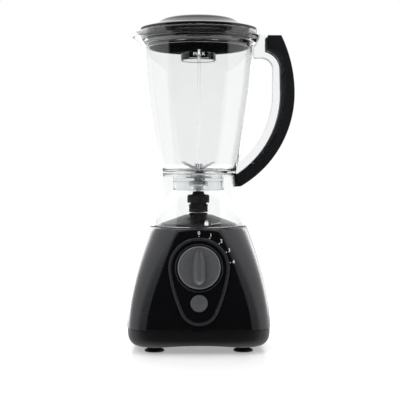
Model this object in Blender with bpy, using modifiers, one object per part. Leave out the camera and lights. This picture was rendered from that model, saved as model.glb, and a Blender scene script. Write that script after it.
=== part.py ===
"""Countertop blender: motor base with controls, lift-off jug with its blade unit, lid and measuring cap.

Metres, +Z up, front towards -Y, handle towards +X. Every piece is modelled around the motor's axis, and the
empty blender_frame then moves that axis so that the origin is the middle of the footprint's box, on the worktop.
"""

import math

import bmesh
import bpy
from mathutils import Matrix, Vector

MM = 0.001

# Fits
GAP = 0.3 * MM  # between pieces that sit against each other
RUNNING = 0.5 * MM  # round pieces that turn past a fixed one

# Motor base
SEAM_Z = 28 * MM  # where the housing meets the bottom cover
HOUSING_TOP_Z = 144 * MM
BASE_HALF = 84.9 * MM  # half width and half depth at the seam
TOP_HALF = 58.8 * MM
BASE_TAPER = 1.75  # how late the base starts to draw in
BOTTOM_POWER = 5.5  # squareness of the plan: 2 is a circle
TOP_POWER = 2.1
WALL = 2.8 * MM
SEAT_R = 47 * MM  # inside edge of the flat ledge that carries the jug
SEAT_STEP = 3 * MM
SEAT_CROWN_R = 16 * MM
SEAT_CROWN_RISE = 13.5 * MM
SHAFT_HOLE_R = 9 * MM

# Bottom cover and feet
COVER_BOTTOM_Z = 7 * MM
COVER_STEP = 0.7 * MM  # the cover is this much smaller than the housing
COVER_CORNER_RUN = 10.5 * MM
COVER_CORNER_RISE = 15 * MM
PLATE_Z = 10 * MM  # underside of the floor plate
PLATE_T = 2.5 * MM
RIM_W = 7 * MM
ARCH_SPAN = 104 * MM
ARCH_RISE = 3.5 * MM
FOOT_SPREAD = 52 * MM
FOOT_LIP_R = 11.5 * MM
FOOT_NECK_R = 6.5 * MM
FOOT_PEG_R = 5 * MM
POST_X = 58 * MM
POST_Y = 32 * MM
POST_R = 5 * MM
POST_TOP_Z = 55 * MM
SCREW_R = 1.9 * MM

# Front panel
PANEL_TOP_HALF = 24.5 * MM
PANEL_BOTTOM_HALF = 61 * MM
PANEL_T = 1.5 * MM
PANEL_TOP_Z = 141.5 * MM
PANEL_SPREAD_POWER = 1.35

# Controls, on a plane that leans back
DIAL_Z = 98.6 * MM
DIAL_LEAN = math.radians(12.5)
DIAL_R = 35.2 * MM  # big end of the egg, around the knob
DIAL_SMALL_R = 22.8 * MM  # small end, around the button
DIAL_DROP = 43.1 * MM  # from the knob's centre to the small end's centre
DIAL_SIDE_TILT = math.radians(8)
DIAL_PLATE_FRONT = 1.0 * MM
DIAL_PLATE_T = 3.2 * MM
DIAL_RIM_W = 3.6 * MM
DIAL_RIM_H = 2.4 * MM
KNOB_R = 24.6 * MM
KNOB_T = 7.5 * MM
KNOB_BAR_W = 15.5 * MM
KNOB_BAR_L = 43.5 * MM
KNOB_BAR_H = 8.5 * MM
KNOB_RING_W = 1.8 * MM
SPINDLE_R = 3 * MM
BUTTON_R = 9.8 * MM
BUTTON_DROP = 40.4 * MM
BUTTON_PROUD = 3.4 * MM
BUTTON_TRAVEL = 2.5 * MM
STEM_R = 2.5 * MM
SWITCH_SIDE = 30 * MM
SWITCH_DEPTH = 20 * MM
KEY_SWITCH_SIDE = 13 * MM
KEY_SWITCH_DEPTH = 16 * MM

# Motor
SHAFT_R = 4 * MM
SHAFT_BOTTOM_Z = 18 * MM
STATOR_HALF = 31 * MM
STATOR_Z = (68 * MM, 98 * MM)
STATOR_BORE_R = 19.2 * MM
ARMATURE_R = 18.4 * MM
COMMUTATOR_R = 10.5 * MM
COMMUTATOR_Z = (46 * MM, 57 * MM)
FAN_R = 31 * MM
FAN_Z = (20 * MM, 30 * MM)
FAN_BLADES = 8
BRACKET_T = 5 * MM
LOWER_BRACKET_Z = 35 * MM
UPPER_BRACKET_Z = 112 * MM
BRACKET_BOLT = 26 * MM
BEARING_R = 10 * MM
BEARING_H = 7 * MM
BRUSH_W = 6 * MM
MOTOR_POST = 31 * MM

# Coupling between motor and blade shaft
DRIVER_Z = 160.5 * MM
DRIVER_HUB_R = 11.6 * MM
DRIVER_HUB_H = 10 * MM
STAR_R = 9.8 * MM
STAR_ROOT_R = 7.6 * MM
STAR_H = 8 * MM
STAR_TEETH = 6
SOCKET_R = 13.5 * MM
SOCKET_H = 10 * MM
BLADE_SHAFT_R = 3 * MM

# Jug
JUG_WALL = 2.5 * MM
JUG_RIM_Z = 380 * MM
JUG_RIM_R = 75.8 * MM
JUG_SHELF_Z = 366 * MM
JUG_NECK_R = JUG_RIM_R - 7.4 * MM
WAIST_Z = 211 * MM
WAIST_R = 46.6 * MM
SKIRT_BOTTOM_R = 57.9 * MM
JUG_BELLY_POWER = 1.75
SKIRT_POWER = 1.9
FLOOR_T = 3 * MM
WELL_R = 31 * MM
WELL_DEPTH = 9 * MM
COLLAR_DEPTH = 20.5 * MM
RIB_T = 3 * MM
RIB_D = 2.2 * MM
RIB_TOP_Z = 353 * MM
SPOUT_REACH = 85.2 * MM
SPOUT_HALF_ANGLE = math.radians(19)
SPOUT_ROOT_Z = 371 * MM
SPOUT_LIP = 3.6 * MM
SPOUT_TIP_R = 6 * MM

# Blade unit
CARRIER_R = 6.2 * MM
CARRIER_FLANGE_R = 17 * MM
CARRIER_TOP_Z = 210.5 * MM
BUSH_R = 4.9 * MM
BLADE_R = 27 * MM
BLADE_W = 12 * MM
BLADE_T = 1.5 * MM
UPPER_BLADE_RISE = 8.5 * MM
LOWER_BLADE_DROP = -3 * MM

# Handle, drawn in the plane of +X and +Z
HANDLE_REACH = 117.1 * MM
HANDLE_WIDE_Z = 306 * MM
HANDLE_UPPER_R = 160 * MM
HANDLE_LOWER_R = 131.5 * MM
HANDLE_TOP_Z = 376.2 * MM
GRIP_T = 16.6 * MM
LINER_T = 5.3 * MM
INNER_LOWER_R = 118 * MM
CORE_EDGE = 9.3 * MM
CORE_COVER = 5 * MM
CORE_W = 14 * MM
GRIP_W = 25 * MM
LINER_W = 21 * MM
KNUCKLE_R = 22.5 * MM
BLOCK_X = JUG_RIM_R + 6.2 * MM
LINER_END_Z = 220.5 * MM

# Lid and measuring cap
LID_FLANGE_R = JUG_RIM_R - 1.3 * MM
LID_FLANGE_T = 3.2 * MM
LID_TOP_Z = 396.2 * MM
LID_CROWN_R = 40 * MM
LID_PLUG_R = JUG_RIM_R - 12.8 * MM
LID_PLUG_Z = 361 * MM
LID_WALL = 2.5 * MM
CAP_R = 30.5 * MM
CAP_TUBE_R = 21.5 * MM
CAP_WALL = 1.8 * MM
CAP_BOTTOM_Z = 346 * MM
CAP_RECESS = 3.6 * MM
CAP_TOP_Z = 400 * MM
SLEEVE_Z = 372 * MM

# Cord inlet, on the back
GLAND_Z = 46 * MM
GLAND_R = 8 * MM
LEAD_R = 3.7 * MM
GLAND_PROUD = 7.4 * MM


# ---------------------------------------------------------------- helpers


def clear_scene():
    for obj in list(bpy.data.objects):
        bpy.data.objects.remove(obj)


def new_collection(name):
    found = bpy.data.collections.new(name)
    bpy.context.scene.collection.children.link(found)
    return found


clear_scene()
PARTS = new_collection("countertop_blender")
CUTTERS = new_collection("cutters")
FRAME = bpy.data.objects.new("blender_frame", None)
PARTS.objects.link(FRAME)


def make_material(name, colour, roughness, metallic=0.0, alpha=1.0):
    made = bpy.data.materials.new(name)
    made.use_nodes = True
    shader = made.node_tree.nodes["Principled BSDF"]
    shader.inputs["Base Color"].default_value = (*colour, 1)
    shader.inputs["Roughness"].default_value = roughness
    shader.inputs["Metallic"].default_value = metallic
    shader.inputs["Alpha"].default_value = alpha
    return made


BLACK_GLOSS = make_material("black_gloss_abs", (0.01, 0.01, 0.011), 0.12)
BLACK_SATIN = make_material("black_satin_abs", (0.02, 0.02, 0.021), 0.3)
GREY_PLASTIC = make_material("grey_control_abs", (0.12, 0.12, 0.12), 0.35)
CLEAR = make_material("clear_san", (0.95, 0.95, 0.96), 0.05, alpha=0.3)
RUBBER = make_material("black_rubber", (0.015, 0.015, 0.015), 0.8)
SILICONE = make_material("grey_silicone", (0.3, 0.3, 0.3), 0.6)
STEEL = make_material("stainless_steel", (0.6, 0.6, 0.6), 0.25, 1.0)
LAMINATION = make_material("silicon_steel", (0.25, 0.26, 0.28), 0.5, 1.0)
COPPER = make_material("copper_winding", (0.6, 0.25, 0.1), 0.4, 1.0)
BRONZE = make_material("sintered_bronze", (0.5, 0.33, 0.15), 0.5, 1.0)
CARBON = make_material("carbon", (0.03, 0.03, 0.03), 0.7)


def finish(obj, material, parts=True):
    """Links an object as a part of the blender, or as a cutter that no render shows."""
    (PARTS if parts else CUTTERS).objects.link(obj)
    obj.parent = FRAME
    if parts:
        obj.data.materials.append(material)
        obj.data.shade_smooth()
        obj.data.set_sharp_from_angle(angle=math.radians(35))
    else:
        obj.hide_render = True
        obj.display_type = "WIRE"
    return obj


def mesh_object(name, mesh_maker, material=None, matrix=None):
    """An object whose mesh is made by mesh_maker(bm). Without a material it is a cutter."""
    mesh = bpy.data.meshes.new(name)
    bm = bmesh.new()
    mesh_maker(bm)
    bm.to_mesh(mesh)
    bm.free()
    obj = bpy.data.objects.new(name, mesh)
    if matrix is not None:
        obj.matrix_basis = matrix
    return finish(obj, material, material is not None)


def cylinder(name, radius, z0, z1, material=None, matrix=None, segments=20, top_radius=None):
    """A cylinder or cone along its own Z, from z0 to z1."""

    def build(bm):
        bmesh.ops.create_cone(
            bm,
            cap_ends=True,
            segments=segments,
            radius1=radius,
            radius2=radius if top_radius is None else top_radius,
            depth=z1 - z0,
            matrix=Matrix.Translation((0, 0, (z0 + z1) / 2)),
        )

    return mesh_object(name, build, material, matrix)


def block(name, low, high, material=None, matrix=None):
    """A box between two corners."""
    low, high = Vector(low), Vector(high)

    def build(bm):
        size = Matrix.Diagonal((*(high - low), 1))
        bmesh.ops.create_cube(bm, size=1, matrix=Matrix.Translation((low + high) / 2) @ size)

    return mesh_object(name, build, material, matrix)


def clockwise(points):
    """The loop turned so that it runs down its outer side, as a Screw needs."""
    area = sum(
        a[0] * b[1] - b[0] * a[1] for a, b in zip(points, points[1:] + points[:1])
    )
    return points if area < 0 else points[::-1]


def turned(name, loop, material=None, segments=28, matrix=None):
    """A body of revolution from a closed loop of (radius, z) that stays off the axis."""

    def build(bm):
        verts = [bm.verts.new((r, 0, z)) for r, z in clockwise(loop)]
        for a, b in zip(verts, verts[1:] + verts[:1]):
            bm.edges.new((a, b))

    obj = mesh_object(name, build, material, matrix)
    return screwed(obj, segments)


def screwed(obj, segments):
    screw = obj.modifiers.new("turn", "SCREW")
    screw.steps = screw.render_steps = segments
    screw.use_merge_vertices = True
    screw.merge_threshold = 0.00001
    return obj


def turned_solid(name, line, material=None, segments=24, matrix=None):
    """A body of revolution from a line of (radius, z) that starts and ends on the axis, top first."""

    def build(bm):
        verts = [bm.verts.new((r, 0, z)) for r, z in line]
        for a, b in zip(verts, verts[1:]):
            bm.edges.new((a, b))

    return screwed(mesh_object(name, build, material, matrix), segments)


def plate(name, outline, depth, material=None, matrix=None, holes=()):
    """A flat outline of (x, y), extruded to half the depth on each side of its plane, as a mesh."""
    curve = bpy.data.curves.new(name, "CURVE")
    curve.dimensions = "2D"
    curve.fill_mode = "BOTH"
    curve.extrude = depth / 2
    for loop in (outline, *holes):
        spline = curve.splines.new("POLY")
        spline.points.add(len(loop) - 1)
        for point, (x, y) in zip(spline.points, loop):
            point.co = (x, y, 0, 1)
        spline.use_cyclic_u = True
    source = bpy.data.objects.new(name + "_outline", curve)
    CUTTERS.objects.link(source)
    source.matrix_basis = matrix or Matrix.Identity(4)
    graph = bpy.context.evaluated_depsgraph_get()
    mesh = bpy.data.meshes.new_from_object(source.evaluated_get(graph))
    place = source.matrix_world.copy() if matrix is None else matrix
    bpy.data.objects.remove(source)
    bm = bmesh.new()
    bm.from_mesh(mesh)
    bmesh.ops.remove_doubles(bm, verts=bm.verts, dist=0.00001)
    bmesh.ops.recalc_face_normals(bm, faces=bm.faces)
    bm.to_mesh(mesh)
    bm.free()
    obj = bpy.data.objects.new(name, mesh)
    obj.matrix_basis = place
    return finish(obj, material, material is not None)


def boolean(target, tool, operation="DIFFERENCE"):
    step = target.modifiers.new(tool.name, "BOOLEAN")
    step.operation = operation
    step.object = tool
    return target


def rounded(obj, width, segments=2, angle=math.radians(40)):
    bevel = obj.modifiers.new("round", "BEVEL")
    bevel.width = width
    bevel.segments = segments
    bevel.limit_method = "ANGLE"
    bevel.angle_limit = angle
    return obj


def arc(cx, cy, radius, start, end, count):
    """Points on an arc, angles in degrees, both ends included."""
    return [
        (
            cx + radius * math.cos(math.radians(start + (end - start) * i / count)),
            cy + radius * math.sin(math.radians(start + (end - start) * i / count)),
        )
        for i in range(count + 1)
    ]


def ring_loop(inner, outer, z0, z1):
    return [(inner, z1), (outer, z1), (outer, z0), (inner, z0)]


# ---------------------------------------------------------------- the base's outer form


def base_share(z):
    return (z - SEAM_Z) / (HOUSING_TOP_Z - SEAM_Z)


def base_half(z):
    """Half width of the base at a height: widest at the seam and drawn in towards the jug."""
    return TOP_HALF + (BASE_HALF - TOP_HALF) * (1 - max(0.0, base_share(z)) ** BASE_TAPER)


def base_power(z):
    return BOTTOM_POWER + (TOP_POWER - BOTTOM_POWER) * max(0.0, base_share(z))


def squircle(angle, half, power):
    """Point of a rounded square, with most points near its corners."""
    c, s = math.cos(angle), math.sin(angle)
    x = math.copysign(abs(c) ** (2 / power), c)
    y = math.copysign(abs(s) ** (2 / power), s)
    return half * x, half * y


def front_y(x, z):
    """The base's front surface at (x, z)."""
    half, power = base_half(z), base_power(z)
    return -((half**power - abs(x) ** power) ** (1 / power))


def loft(name, rings, material=None, segments=36, capped=True):
    """A skin through rings of (z, half, power), lowest first."""

    def build(bm):
        loops = []
        for z, half, power in rings:
            ring = [
                squircle(2 * math.pi * (k + 0.5) / segments, half, power)
                for k in range(segments)
            ]
            loops.append([bm.verts.new((x, y, z)) for x, y in ring])
        for lower, upper in zip(loops, loops[1:]):
            for k in range(segments):
                n = (k + 1) % segments
                bm.faces.new((lower[k], lower[n], upper[n], upper[k]))
        if capped:
            bm.faces.new(loops[0][::-1])
            bm.faces.new(loops[-1])

    return mesh_object(name, build, material)


def seat_z(radius):
    """Top of the crowned seat inside the jug's skirt."""
    share = (SEAT_R - SEAT_STEP / 2 - radius) / (SEAT_R - SEAT_STEP / 2 - SEAT_CROWN_R)
    return HOUSING_TOP_Z + SEAT_STEP + (SEAT_CROWN_RISE - SEAT_STEP) * share


def motor_housing():
    bottom = SEAM_Z - 1 * MM
    steps = 6
    shoulder = HOUSING_TOP_Z - 2 * MM
    rings = []
    for i in range(steps + 1):
        z = bottom + (shoulder - bottom) * i / steps
        rings.append((z, base_half(z), base_power(z)))
    rings.append((HOUSING_TOP_Z, TOP_HALF - 1.4 * MM, 2))
    rings.append((HOUSING_TOP_Z, SEAT_R, 2))
    rings.append((HOUSING_TOP_Z + SEAT_STEP, SEAT_R - SEAT_STEP / 2, 2))
    rings.append((seat_z(SEAT_CROWN_R), SEAT_CROWN_R, 2))
    rings.append((seat_z(SEAT_CROWN_R), SHAFT_HOLE_R, 2))
    housing = loft("motor_housing", rings, BLACK_SATIN, capped=False)
    shell = housing.modifiers.new("wall", "SOLIDIFY")
    shell.thickness = WALL
    shell.offset = -1
    shell.use_even_offset = True
    reach = BASE_HALF + 20 * MM
    boolean(housing, block("below_seam", (-reach, -reach, 0), (reach, reach, SEAM_Z + GAP)))
    bottom = SEAM_Z + GAP

    for i, (sx, sy) in enumerate(((1, 1), (-1, 1), (-1, -1), (1, -1))):
        foot_of_post = Matrix.Translation((sx * POST_X, sy * POST_Y, 0))
        post = cylinder(f"cover_post_{i}", POST_R, bottom, POST_TOP_Z, None, foot_of_post, 12)
        reach = sorted((0, sx * (base_half(POST_TOP_Z) - WALL / 3 - POST_X)))
        rib = block(
            f"cover_rib_{i}",
            (reach[0], -1.5 * MM, bottom + 1 * MM),
            (reach[1], 1.5 * MM, POST_TOP_Z - 1 * MM),
            None,
            foot_of_post,
        )
        boolean(post, rib, "UNION")
        boolean(housing, post, "UNION")
        screw_hole = cylinder(
            f"cover_pilot_{i}", SCREW_R + GAP, bottom - 1 * MM, 46 * MM, None, foot_of_post, 10
        )
        boolean(housing, screw_hole)
        at = Matrix.Translation((sx * MOTOR_POST, sy * MOTOR_POST, 0))
        top = seat_z(MOTOR_POST * math.sqrt(2)) - WALL / 2
        motor_post = cylinder(
            f"motor_post_{i}", POST_R, UPPER_BRACKET_Z + BRACKET_T + GAP, top, None, at, 12
        )
        boolean(housing, motor_post, "UNION")

    boolean(housing, panel_patch("panel_recess", GAP, 2 * MM, PANEL_T + GAP))
    boolean(housing, dial_prism("dial_window", GAP, -20 * MM, 12 * MM))
    gland_axis = Matrix.Translation((0, 0, GLAND_Z)) @ Matrix.Rotation(-math.pi / 2, 4, "X")
    boolean(
        housing,
        cylinder("gland_hole", GLAND_R + GAP, BASE_HALF - 12 * MM, BASE_HALF + 9 * MM, None, gland_axis, 16),
    )
    return housing


def panel_half(z):
    """Half width of the front panel, which widens towards the seam."""
    share = max(0.0, base_share(z)) ** PANEL_SPREAD_POWER
    return PANEL_BOTTOM_HALF + (PANEL_TOP_HALF - PANEL_BOTTOM_HALF) * share


def panel_patch(name, grow, out, depth, material=None):
    """A curved sheet over the front of the base, from outside its surface to a depth below it."""

    def build(bm):
        bmesh.ops.create_grid(bm, x_segments=8, y_segments=7, size=1)
        low, high = SEAM_Z + GAP - 3 * grow, PANEL_TOP_Z + grow
        for v in bm.verts:
            z = low + (high - low) * (v.co.y + 1) / 2
            x = v.co.x * (panel_half(z) + grow)
            v.co = (x, front_y(x, z), z)
        bmesh.ops.recalc_face_normals(bm, faces=bm.faces)
        if sum(f.normal.y for f in bm.faces) > 0:
            bmesh.ops.reverse_faces(bm, faces=bm.faces)

    patch = mesh_object(name, build, material)
    sheet = patch.modifiers.new("sheet", "SOLIDIFY")
    sheet.thickness = out + depth
    sheet.offset = 2 * out / (out + depth) - 1
    return patch


# ---------------------------------------------------------------- controls

DIAL_PLANE = (
    Matrix.Translation((0, front_y(0, DIAL_Z), DIAL_Z))
    @ Matrix.Rotation(-DIAL_LEAN, 4, "X")
    @ Matrix.Rotation(math.pi / 2, 4, "X")
)  # own X to the right, own Y up the panel, own Z out of it


def on_dial(x=0.0, y=0.0, out=0.0):
    return DIAL_PLANE @ Matrix.Translation((x, y, out))


def egg(grow):
    """Outline around knob and button: a big arc, a small arc and two flat side arcs, all tangent."""
    big, small = DIAL_R + grow, DIAL_SMALL_R + grow
    spare = big - small
    tilt = DIAL_SIDE_TILT
    back = (DIAL_DROP**2 - spare**2) / (2 * (spare - DIAL_DROP * math.sin(tilt)))
    centre = (-back * math.cos(tilt), back * math.sin(tilt))
    side_r = big + back
    end = math.atan2(-DIAL_DROP - centre[1], -centre[0])
    tilt_deg, end_deg = math.degrees(tilt), math.degrees(end)
    right = arc(*centre, side_r, -tilt_deg, end_deg, 5)
    left = [(-x, y) for x, y in right[::-1]]
    top = arc(0, 0, big, 180 + tilt_deg, -tilt_deg, 18)
    bottom = arc(0, -DIAL_DROP, small, end_deg, -180 - end_deg, 10)
    return top[:-1] + right[:-1] + bottom[:-1] + left[:-1]


def dial_prism(name, grow, low, high, material=None):
    return plate(name, egg(grow), high - low, material, on_dial(out=(low + high) / 2))


def control_dial():
    """The egg-shaped plate with a raised rim, and a raised ring around the knob."""
    face = DIAL_PLATE_FRONT
    dial = dial_prism("control_dial", 0, face - DIAL_PLATE_T, face, BLACK_GLOSS)
    rim = plate(
        "dial_rim",
        egg(0),
        DIAL_RIM_H + 1 * MM,
        None,
        on_dial(out=face + (DIAL_RIM_H - 1 * MM) / 2),
        (egg(-DIAL_RIM_W),),
    )
    boolean(dial, rim, "UNION")
    ring_in = KNOB_R + RUNNING + 1 * MM
    ring = turned(
        "knob_ring",
        ring_loop(ring_in, ring_in + KNOB_RING_W, -1 * MM, DIAL_RIM_H - 0.6 * MM),
        None,
        32,
        on_dial(out=face),
    )
    boolean(dial, ring, "UNION")
    boolean(dial, cylinder("spindle_hole", SPINDLE_R + RUNNING, -9 * MM, 9 * MM, None, on_dial(), 12))
    boolean(
        dial,
        cylinder("button_hole", BUTTON_R + GAP, -9 * MM, 9 * MM, None, on_dial(y=-BUTTON_DROP), 20),
    )
    return dial


def speed_knob():
    """A disc with a bullet-shaped grip bar that points at the speed marks."""
    back = DIAL_PLATE_FRONT + GAP
    face = back + KNOB_T
    line = [
        (0, face),
        (KNOB_R - 4 * MM, face - 0.4 * MM),
        (KNOB_R - 1 * MM, face - 2 * MM),
        (KNOB_R, face - 4 * MM),
        (KNOB_R, back),
        (0, back),
    ]
    knob = turned_solid("speed_knob", line, GREY_PLASTIC, 32, on_dial())
    half = KNOB_BAR_W / 2
    tip = KNOB_BAR_L / 2
    outline = (
        [(0, tip), (0.34 * half, tip - 1.5 * MM), (0.62 * half, tip - 7 * MM), (half, 2 * MM)]
        + arc(0, -tip + half, half, 0, -180, 6)
        + [(-half, 2 * MM), (-0.62 * half, tip - 7 * MM), (-0.34 * half, tip - 1.5 * MM)]
    )
    bar = plate(
        "grip_bar", outline, KNOB_BAR_H + 3 * MM, None, on_dial(out=face + (KNOB_BAR_H - 3 * MM) / 2)
    )
    rounded(bar, 1.6 * MM)
    boolean(knob, bar, "UNION")
    bore = cylinder(
        "knob_bore", SPINDLE_R + GAP, back - 1 * MM, back + 5 * MM, None, on_dial(), 12
    )
    return boolean(knob, bore)


def pulse_button():
    """The round key: a cap in the dial's hole, with a collar behind the plate and a stem."""
    face = DIAL_PLATE_FRONT + BUTTON_PROUD
    plate_back = DIAL_PLATE_FRONT - DIAL_PLATE_T
    line = [
        (0, face),
        (BUTTON_R - 1.6 * MM, face - 0.3 * MM),
        (BUTTON_R, face - 1.6 * MM),
        (BUTTON_R, plate_back - GAP),
        (BUTTON_R + 1.2 * MM, plate_back - GAP),
        (BUTTON_R + 1.2 * MM, plate_back - 1.8 * MM),
        (STEM_R, plate_back - 1.8 * MM),
        (STEM_R, plate_back - 8 * MM),
        (0, plate_back - 8 * MM),
    ]
    return turned_solid("pulse_button", line, GREY_PLASTIC, 24, on_dial(y=-BUTTON_DROP))


def button_spring():
    """The return spring around the stem, as a coil between the key and its switch."""
    plate_back = DIAL_PLATE_FRONT - DIAL_PLATE_T
    top, bottom = plate_back - 2.6 * MM, plate_back - 9.2 * MM
    turns, per_turn, coil_r = 4, 10, STEM_R + 1.6 * MM
    curve = bpy.data.curves.new("button_spring", "CURVE")
    curve.dimensions = "3D"
    curve.bevel_depth = 0.4 * MM
    curve.bevel_resolution = 1
    curve.use_fill_caps = True
    spline = curve.splines.new("POLY")
    count = turns * per_turn
    spline.points.add(count)
    for i, point in enumerate(spline.points):
        angle = 2 * math.pi * i / per_turn
        z = bottom + (top - bottom) * i / count
        point.co = (coil_r * math.cos(angle), coil_r * math.sin(angle), z, 1)
    spring = bpy.data.objects.new("button_spring", curve)
    PARTS.objects.link(spring)
    spring.parent = FRAME
    spring.matrix_basis = on_dial(y=-BUTTON_DROP)
    curve.materials.append(STEEL)
    return spring


def switches():
    """The rotary speed switch with its spindle, and the key switch behind the button."""
    plate_back = DIAL_PLATE_FRONT - DIAL_PLATE_T
    half = SWITCH_SIDE / 2
    body = block(
        "speed_switch",
        (-half, -half, plate_back - GAP - SWITCH_DEPTH),
        (half, half, plate_back - GAP),
        BLACK_SATIN,
        on_dial(),
    )
    rounded(body, 2 * MM)
    bore = cylinder(
        "switch_bore", SPINDLE_R + RUNNING, plate_back - 12 * MM, plate_back + 1 * MM, None, on_dial(), 12
    )
    boolean(body, bore)
    spindle = cylinder(
        "switch_spindle",
        SPINDLE_R,
        plate_back - 11 * MM,
        DIAL_PLATE_FRONT + GAP + 4.6 * MM,
        STEEL,
        on_dial(),
        12,
    )
    half = KEY_SWITCH_SIDE / 2
    top = plate_back - 9.6 * MM
    key = block(
        "pulse_switch",
        (-half, -half, top - KEY_SWITCH_DEPTH),
        (half, half, top),
        BLACK_SATIN,
        on_dial(y=-BUTTON_DROP),
    )
    well = cylinder(
        "key_well", STEM_R + GAP, top - 6 * MM, top + 1 * MM, None, on_dial(y=-BUTTON_DROP), 12
    )
    boolean(key, well)
    return body, spindle, key


# ---------------------------------------------------------------- bottom cover, feet and gland


def cover_half(z, inset=0.0):
    share = min(1.0, max(0.0, (z - COVER_BOTTOM_Z) / COVER_CORNER_RISE))
    tuck = COVER_CORNER_RUN * (1 - math.sqrt(1 - (1 - share) ** 2))
    return BASE_HALF - COVER_STEP - tuck - inset


def cover_rings(heights, inset=0.0):
    return [(z, cover_half(z, inset), BOTTOM_POWER) for z in heights]


def bottom_cover():
    rise = COVER_CORNER_RISE
    heights = [COVER_BOTTOM_Z + rise * share for share in (0, 0.06, 0.22, 0.5, 1)]
    cover = loft("bottom_cover", cover_rings([*heights, SEAM_Z]), BLACK_SATIN)
    plate_top = PLATE_Z + PLATE_T
    inside = [plate_top, plate_top + 5 * MM, SEAM_Z + 2 * MM]
    boolean(cover, loft("cover_inside", cover_rings(inside, WALL)))
    under = [(z, cover_half(COVER_BOTTOM_Z) - RIM_W, BOTTOM_POWER) for z in (0, PLATE_Z)]
    boolean(cover, loft("cover_underside", under))
    arch_r = ((ARCH_SPAN / 2) ** 2 + ARCH_RISE**2) / (2 * ARCH_RISE)
    for side, axis in (("front", "X"), ("side", "Y")):
        lay = Matrix.Rotation(math.pi / 2, 4, axis)
        down = Matrix.Translation((0, 0, COVER_BOTTOM_Z + ARCH_RISE - arch_r))
        reach = BASE_HALF + 10 * MM
        boolean(cover, cylinder(f"{side}_arch", arch_r, -reach, reach, None, down @ lay, 120))
    for i in range(8):
        slot = block(
            f"vent_{i}",
            (13 * MM, -2 * MM, PLATE_Z - 1 * MM),
            (34 * MM, 2 * MM, plate_top + 1 * MM),
            None,
            Matrix.Rotation(2 * math.pi * (i + 0.5) / 8, 4, "Z"),
        )
        boolean(cover, slot)
    for i, (sx, sy) in enumerate(((1, 1), (-1, 1), (-1, -1), (1, -1))):
        at = Matrix.Translation((sx * FOOT_SPREAD, sy * FOOT_SPREAD, 0))
        boolean(
            cover,
            cylinder(f"foot_hole_{i}", FOOT_PEG_R + GAP, PLATE_Z - 1 * MM, plate_top + 1 * MM, None, at, 12),
        )
        at = Matrix.Translation((sx * POST_X, sy * POST_Y, 0))
        seat = turned(
            f"screw_seat_{i}", ring_loop(SCREW_R + GAP, POST_R, PLATE_Z, SEAM_Z - GAP), None, 12, at
        )
        boolean(cover, seat, "UNION")
        boolean(
            cover,
            cylinder(f"screw_pass_{i}", SCREW_R + GAP, PLATE_Z - 1 * MM, SEAM_Z, None, at, 12),
        )
    return cover


CORNERS = {
    "front_left": (-1, -1),
    "front_right": (1, -1),
    "rear_left": (-1, 1),
    "rear_right": (1, 1),
}


def feet_and_screws():
    plate_top = PLATE_Z + PLATE_T
    foot = [
        (0, plate_top + 2 * MM),
        (FOOT_PEG_R + 1.3 * MM, plate_top + GAP + 0.6 * MM),
        (FOOT_PEG_R + 1.3 * MM, plate_top + GAP),
        (FOOT_PEG_R, plate_top + GAP),
        (FOOT_PEG_R, PLATE_Z - GAP),
        (FOOT_NECK_R + 1 * MM, PLATE_Z - GAP),
        (FOOT_NECK_R, 3.8 * MM),
        (FOOT_LIP_R, 1.4 * MM),
        (FOOT_LIP_R, 0),
        (FOOT_LIP_R - 3 * MM, 0),
        (FOOT_LIP_R - 4.5 * MM, 1.2 * MM),
        (0, 1.6 * MM),
    ]
    head_z = PLATE_Z - GAP
    screw = [
        (0, 44 * MM),
        (SCREW_R, 42.5 * MM),
        (SCREW_R, head_z),
        (3.6 * MM, head_z),
        (3.2 * MM, head_z - 1.8 * MM),
        (0, head_z - 2.1 * MM),
    ]
    for corner, (sx, sy) in CORNERS.items():
        at = Matrix.Translation((sx * FOOT_SPREAD, sy * FOOT_SPREAD, 0))
        turned_solid(f"foot_{corner}", foot, RUBBER, 12, at)
        at = Matrix.Translation((sx * POST_X, sy * POST_Y, 0))
        turned_solid(f"cover_screw_{corner}", screw, STEEL, 8, at)


def cord_gland():
    """The bush in the back wall for the mains lead, with the lead's root moulded into it."""
    outside, inside = BASE_HALF + GLAND_PROUD, BASE_HALF - 10 * MM
    wall_out = BASE_HALF + GAP
    line = [
        (0, outside),
        (LEAD_R, outside),
        (LEAD_R, outside - 2 * MM),
        (GLAND_R - 1.5 * MM, outside - 2 * MM),
        (GLAND_R + 2.5 * MM, wall_out + 1.5 * MM),
        (GLAND_R + 2.5 * MM, wall_out),
        (GLAND_R, wall_out),
        (GLAND_R, inside),
        (0, inside),
    ]
    axis = Matrix.Translation((0, 0, GLAND_Z)) @ Matrix.Rotation(-math.pi / 2, 4, "X")
    return turned_solid("cord_gland", line, RUBBER, 16, axis)


# ---------------------------------------------------------------- motor


def motor_stator():
    low, high = STATOR_Z
    half = STATOR_HALF
    stack = block("stator_core", (-half, -half, low), (half, half, high), LAMINATION)
    rounded(stack, 7 * MM)
    bore = cylinder("stator_bore", STATOR_BORE_R, low - 1 * MM, high + 1 * MM, None, None, 32)
    boolean(stack, bore)
    for side in (-1, 1):
        window = block(
            f"coil_window_{side}",
            (-20 * MM, side * 20 * MM - 5 * MM, low - 1 * MM),
            (20 * MM, side * 20 * MM + 5 * MM, high + 1 * MM),
        )
        boolean(stack, window)
    return stack


def field_coils():
    """Two coils of copper wire through the stator's windows, one in front and one behind."""
    low, high = STATOR_Z
    for name, side in (("field_coil_front", -1), ("field_coil_rear", 1)):
        y0, y1 = sorted((side * 20 * MM - side * 0.6 * MM, side * 24.4 * MM))
        coil = block(name, (-19.5 * MM, y0, low - 9 * MM), (19.5 * MM, y1, high + 9 * MM), COPPER)
        rounded(coil, 1.5 * MM)


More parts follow.
